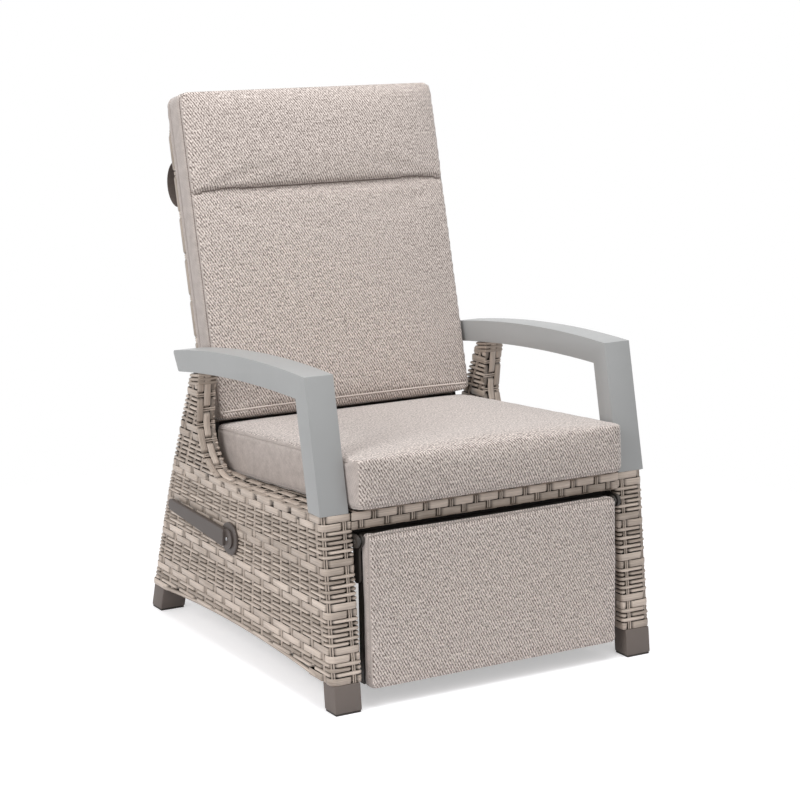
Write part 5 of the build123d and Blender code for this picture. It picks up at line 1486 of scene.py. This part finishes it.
class ARMCHAIR_OT_back_cushion(bpy.types.Operator):
    """Swells the back cushion, sews its channel and its seams"""

    bl_idname = "armchair.back_cushion"
    bl_label = "Back Cushion"

    def execute(self, context):
        front = rim_points(BACK_PLACE, BACK_RIM, 0.064, start=0.112)
        rear = rim_points(BACK_PLACE, BACK_RIM, 0.020)
        panels = ((0.0865, BACK_CHANNEL, 0.013), (BACK_CHANNEL, 0.7395, 0.019))
        piece = swollen("back_pad", BACK_PLACE, *BACK_BLOCK, 0.020, panels, (front, rear), BACK_ROOM,
                        roll=0.028, lip=True)
        fold = [BACK_PLACE @ Vector((x, 0.100, 0.082)) for x in spread(0.286, 200)]
        across = [BACK_PLACE @ Vector((x, BACK_CHANNEL, 0.085)) for x in spread(0.295, 240)]
        line = [spot for spot, _ in on_surface(surface_of(piece), across)]
        groove(piece, line, 0.010, 0.005)
        seamed(piece, "back_pad_piping", rear, cushion_trim(), "backrest")
        seamed(piece, "back_pad_seam", front, stitch_material(), "backrest", closed=False, radius=0.0008)
        pale = kept_material("cushion_fold", thread_material, fabric_settings().pale_yarn)
        seamed(piece, "back_pad_fold", fold, pale, "backrest", closed=False, radius=0.0018)
        thread = cord_piece("back_pad_channel_thread", on_surface(surface_of(piece), line, 0.0003), 0.0010,
                            stitch_material(), closed=False)
        declare(thread, "backrest", "cushion")
        upholster(piece, BACK_PLACE, "backrest", "back_cushion")
        return {"FINISHED"}


# Swung out, the footrest's pad passes under the front rail: how far it may stand out at its hinge, how
# much less further up, and where its upper front edge starts to be rounded off
RAIL_ROOM = 0.0188
RAIL_ROOM_LESS = 0.14
RAIL_EDGE_START = 0.0056
RAIL_EDGE_SLOPE = 1.2


def under_rail(spot):
    """A spot of the pad, drawn in to the room under the front rail."""
    room = RAIL_ROOM - RAIL_ROOM_LESS * spot.y + RAIL_EDGE_SLOPE * max(RAIL_EDGE_START - spot.y, 0.0)
    spot.z = min(spot.z, room)
    return spot


class ARMCHAIR_OT_footrest_pad(bpy.types.Operator):
    """Swells the footrest's pad and sews its seam"""

    bl_idname = "armchair.footrest_pad"
    bl_label = "Footrest Pad"

    def execute(self, context):
        rim = rim_points(FOOTREST_PLACE, PAD_RIM, 0.017)
        piece = swollen("footrest_pad_cloth", FOOTREST_PLACE, *PAD_BLOCK, 0.012, ((-0.2750, 0.0130, 0.005),),
                        (rim,), PAD_ROOM)
        reshape(piece, FOOTREST_PLACE, under_rail)
        seamed(piece, "footrest_pad_piping", rim, cushion_trim(), "footrest")
        upholster(piece, FOOTREST_PLACE, "footrest", "footrest_pad")
        return {"FINISHED"}


# The strap loops' arc on the back's leaning place as (up, out behind), and the webbing's section
STRAP_ARC = ((0.522, 0.0135), (0.567, 0.0515), (0.612, 0.0135))
STRAP_X = 0.272
WEBBING = ((-0.014, -0.0006), (-0.0135, 0.0006), (0.0, 0.0009), (0.0135, 0.0006), (0.014, -0.0006))


class ARMCHAIR_OT_straps(bpy.types.Operator):
    """Models the slack strap loops behind the back"""

    bl_idname = "armchair.straps"
    bl_label = "Cushion Straps"

    def execute(self, context):
        weave = Weave()
        up, out, radius = circle_through(STRAP_ARC)
        start, end = (math.atan2(point[1] - out, point[0] - up) for point in (STRAP_ARC[0], STRAP_ARC[2]))
        turns = [start + (end - start) * step / 20 for step in range(21)]
        track = Track([(up + radius * math.cos(turn), -(out + radius * math.sin(turn))) for turn in turns])
        for x in (-STRAP_X, STRAP_X):
            weave.lay(track, laid(lambda point, _: (x, point.x, point.y), X_WAY,
                                  lambda _, normal: (0.0, normal.x, normal.y), BACK_PLACE), WEBBING)
        strap = weave.finish("cushion_strap_webbing", thread_material("strap_webbing", (0.16, 0.13, 0.115)))
        declare(strap, "backrest", "strap", "cushion_straps")
        return {"FINISHED"}


# Half width of each dark sheet of painted shade, its lower and upper edge, and half its thickness
FLAP = (0.2885, 0.298, 0.334, 0.0006)
FLAP_BEHIND = 0.004
PAINTED_BACK_SHEET = (0.2965, 0.058, 0.092, 0.001)


class ARMCHAIR_OT_painted_shade_sheets(bpy.types.Operator):
    """Hangs dark sheets of painted shade behind the front rail and under the woven back"""

    bl_idname = "armchair.hems"
    bl_label = "Dark Hems"

    def execute(self, context):
        # Painted shade: near-black sheets fill the gap behind the front rail and the band under the back
        # cushion, where the chair lies in shade
        dark = thread_material("painted_shade_sheet", (0.035, 0.03, 0.027))
        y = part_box("front_rail_weave")[1].y - FLAP_BEHIND
        half, low, high, thick = FLAP
        flap = boxed("rail_painted_shade_flap", Matrix.Identity(4), (-half, y - thick, low), (half, y + thick, high), 0.0004)
        half, low, high, thick = PAINTED_BACK_SHEET
        painted_back_sheet = boxed("back_painted_shade_sheet", BACK_PLACE, (-half, low, -thick), (half, high, thick), 0.0004)
        for piece, body in ((flap, "base"), (painted_back_sheet, "backrest")):
            piece.data.materials.append(dark)
            declare(piece, body, "sheet")
        return {"FINISHED"}


class ARMCHAIR_OT_arms(bpy.types.Operator):
    """Gives the arms rounded edges and their powder coat"""

    bl_idname = "armchair.arms"
    bl_label = "Metal Arms"

    def execute(self, context):
        coat = coated_material("arm_powder_coat", finish_settings().arm, 0.42, shade=0.93, scale=1400.0,
                               height=0.00012, coat=0.08)
        for side in ("left", "right"):
            crisp_copy(f"arm_{side}", f"arm_{side}_coated", coat, 0.0022)
        return {"FINISHED"}


class ARMCHAIR_OT_feet(bpy.types.Operator):
    """Gives the feet rounded edges, a moulded finish and rubber glides"""

    bl_idname = "armchair.feet"
    bl_label = "Feet"

    def execute(self, context):
        moulded = coated_material("foot_moulding", finish_settings().foot, 0.5, shade=0.9, height=0.00015)
        for foot in ("foot_front_left", "foot_front_right", "foot_rear_left", "foot_rear_right"):
            crisp_copy(foot, foot + "_moulded", moulded, 0.0018)
        rubber = coated_material("glide_rubber", finish_settings().glide, 0.75, shade=0.8)
        crisp_copy("glide_pads", "glide_pads_rubber", rubber, 0.0008)
        return {"FINISHED"}


class ARMCHAIR_OT_lever(bpy.types.Operator):
    """Finishes the release lever, its rosette and its screw"""

    bl_idname = "armchair.lever"
    bl_label = "Release Lever"

    def execute(self, context):
        moulded = coated_material("lever_moulding", finish_settings().lever, 0.42, shade=0.88, height=0.0001)
        crisp_copy("lever_handle", "lever_handle_moulded", moulded, 0.0012)
        crisp_copy("lever_rosette", "lever_rosette_moulded", moulded, 0.0006)
        crisp_copy("lever_screw", "lever_screw_bright", steel_material(), 0.0003)
        return {"FINISHED"}


class ARMCHAIR_OT_fittings(bpy.types.Operator):
    """Puts finishes on the frames, the mechanism and the fittings"""

    bl_idname = "armchair.fittings"
    bl_label = "Frames and Fittings"

    def execute(self, context):
        finishes = {
            "frame_paint": coated_material("frame_powder_coat", finish_settings().frame_coat, 0.5, shade=0.8),
            "steel": steel_material(),
            "nylon": coated_material("nylon_bush", (0.6, 0.59, 0.56), 0.45, shade=0.9),
            "black_paint": coated_material("cylinder_enamel", (0.02, 0.02, 0.021), 0.3, shade=0.7, coat=0.3),
            "chrome": coated_material("rod_chrome", (0.75, 0.75, 0.77), 0.12, metallic=1.0, shade=0.95),
            "sheet": coated_material("backing_sheet", (0.045, 0.04, 0.037), 0.7, shade=0.75, cloud=30.0),
        }
        for node, shape in frame["nodes"].items():
            finish = finishes.get(slot_of(node))
            if finish is not None and node != "lever_screw":
                shape.data.materials.clear()
                shape.data.materials.append(finish)
        return {"FINISHED"}


# Stage

WHITE = (1.0, 1.0, 1.0)
FLOOR_COLOUR = (0.93, 0.925, 0.945)
FLOOR_RADIUS = 2.4
FLOOR_CLEAR = (0.75, 1.5)
LAMP_TARGET = (0.0, 0.0, 0.35)


def aimed(name, data, eye, target):
    """A new lamp or camera that looks at a point."""
    holder = new_object(name, data)
    holder.location = eye
    holder.rotation_euler = (Vector(target) - Vector(eye)).to_track_quat("-Z", "Y").to_euler()
    return holder


def lamp(name, power, size, eye, target=LAMP_TARGET):
    """A large soft lamp aimed at a point."""
    light = bpy.data.lights.new(name, "AREA")
    light.energy = power
    light.shape = "DISK"
    light.size = size
    aimed(name, light, eye, target)


def soft_world(ambient):
    """Even light from all round, with a white background."""
    world = bpy.data.worlds.new("soft_world")
    world.use_nodes = True
    tree = Tree(world.node_tree)
    path = tree.add("ShaderNodeLightPath").outputs
    seen = tree.math("MAXIMUM", path["Is Camera Ray"], path["Is Glossy Ray"])
    seen = tree.math("MAXIMUM", seen, path["Is Transmission Ray"])
    tree.fill(world.node_tree.nodes["Background"],
              {"Color": WHITE, "Strength": tree.map(seen, 0.0, 1.0, ambient, 1.0)})
    return world


def floor_paper(glow):
    """White paper that fades out away from the chair."""
    material, tree, shader = new_material("floor_paper")
    away = tree.add("ShaderNodeVectorMath", {0: tree.object_place()}, operation="LENGTH").outputs["Value"]
    seen = tree.add("ShaderNodeLightPath").outputs["Is Camera Ray"]
    tree.fill(shader, {"Base Color": FLOOR_COLOUR, "Roughness": 1.0, "Specular IOR Level": 0.0,
                       "Emission Color": WHITE, "Emission Strength": tree.math("MULTIPLY", seen, glow)})
    clear = tree.add("ShaderNodeBsdfTransparent").outputs[0]
    blend = tree.add("ShaderNodeMixShader", {0: tree.map(away, *FLOOR_CLEAR), 1: shader.outputs[0], 2: clear})
    tree.fill(material.node_tree.nodes["Material Output"], {"Surface": blend.outputs[0]})
    return material


class ARMCHAIR_OT_stage(bpy.types.Operator):
    """Sets the floor, the light and the camera"""

    bl_idname = "armchair.stage"
    bl_label = "Stage"

    def execute(self, context):
        scene = context.scene
        settings = scene.armchair_stage
        scene.view_settings.view_transform = "Standard"
        scene.world = soft_world(settings.ambient)
        disc = bmesh.new()
        bmesh.ops.create_circle(disc, cap_ends=True, segments=96, radius=FLOOR_RADIUS)
        new_piece("floor", disc, floor_paper(settings.floor_glow))
        lamp("key", settings.key, 2.2, (-3.5, -1.1, 2.5))
        lamp("fill", settings.fill, 2.6, (1.4, -3.4, 2.2))
        lamp("top", settings.top, 2.0, (0.0, -0.5, 3.0), (0.0, -0.1, 0.35))
        camera = bpy.data.cameras.new("photo_camera")
        camera.lens = settings.lens
        camera.sensor_width = 36.0
        camera.clip_end = 50.0
        scene.camera = aimed("photo_camera", camera, settings.eye, settings.target)
        return {"FINISHED"}


PIECES = (ARMCHAIR_OT_sides, ARMCHAIR_OT_rails, ARMCHAIR_OT_back, ARMCHAIR_OT_seat_cushion,
          ARMCHAIR_OT_back_cushion, ARMCHAIR_OT_footrest_pad, ARMCHAIR_OT_straps, ARMCHAIR_OT_painted_shade_sheets,
          ARMCHAIR_OT_arms, ARMCHAIR_OT_feet, ARMCHAIR_OT_lever, ARMCHAIR_OT_fittings, ARMCHAIR_OT_stage)


class ARMCHAIR_PT_pieces(bpy.types.Panel):
    """Lists the armchair's pieces and their settings"""

    bl_label = "Reclining Garden Armchair"
    bl_idname = "ARMCHAIR_PT_pieces"
    bl_space_type = "VIEW_3D"
    bl_region_type = "UI"
    bl_category = "Armchair"

    def draw(self, context):
        column = self.layout.column()
        for piece in PIECES:
            column.operator(piece.bl_idname)
        for name, _ in SETTINGS:
            group = getattr(context.scene, name)
            for key in group.bl_rna.properties.keys():
                if key not in ("rna_type", "name"):
                    column.prop(group, key)


SETTINGS = (("armchair_weave", WeaveSettings), ("armchair_fabric", FabricSettings),
            ("armchair_finish", FinishSettings), ("armchair_stage", StageSettings))


def register():
    for name, group in SETTINGS:
        bpy.utils.register_class(group)
        setattr(bpy.types.Scene, name, PointerProperty(type=group))
    for piece in PIECES:
        bpy.utils.register_class(piece)
    bpy.utils.register_class(ARMCHAIR_PT_pieces)


def unregister():
    bpy.utils.unregister_class(ARMCHAIR_PT_pieces)
    for piece in reversed(PIECES):
        bpy.utils.unregister_class(piece)
    for name, group in reversed(SETTINGS):
        delattr(bpy.types.Scene, name)
        bpy.utils.unregister_class(group)


def main():
    register()
    bpy.ops.armchair.sides()
    bpy.ops.armchair.rails()
    bpy.ops.armchair.back()
    bpy.ops.armchair.seat_cushion()
    bpy.ops.armchair.back_cushion()
    bpy.ops.armchair.footrest_pad()
    bpy.ops.armchair.straps()
    bpy.ops.armchair.hems()
    bpy.ops.armchair.arms()
    bpy.ops.armchair.feet()
    bpy.ops.armchair.lever()
    bpy.ops.armchair.fittings()
    bpy.ops.armchair.stage()


if __name__ == "__main__":
    main()
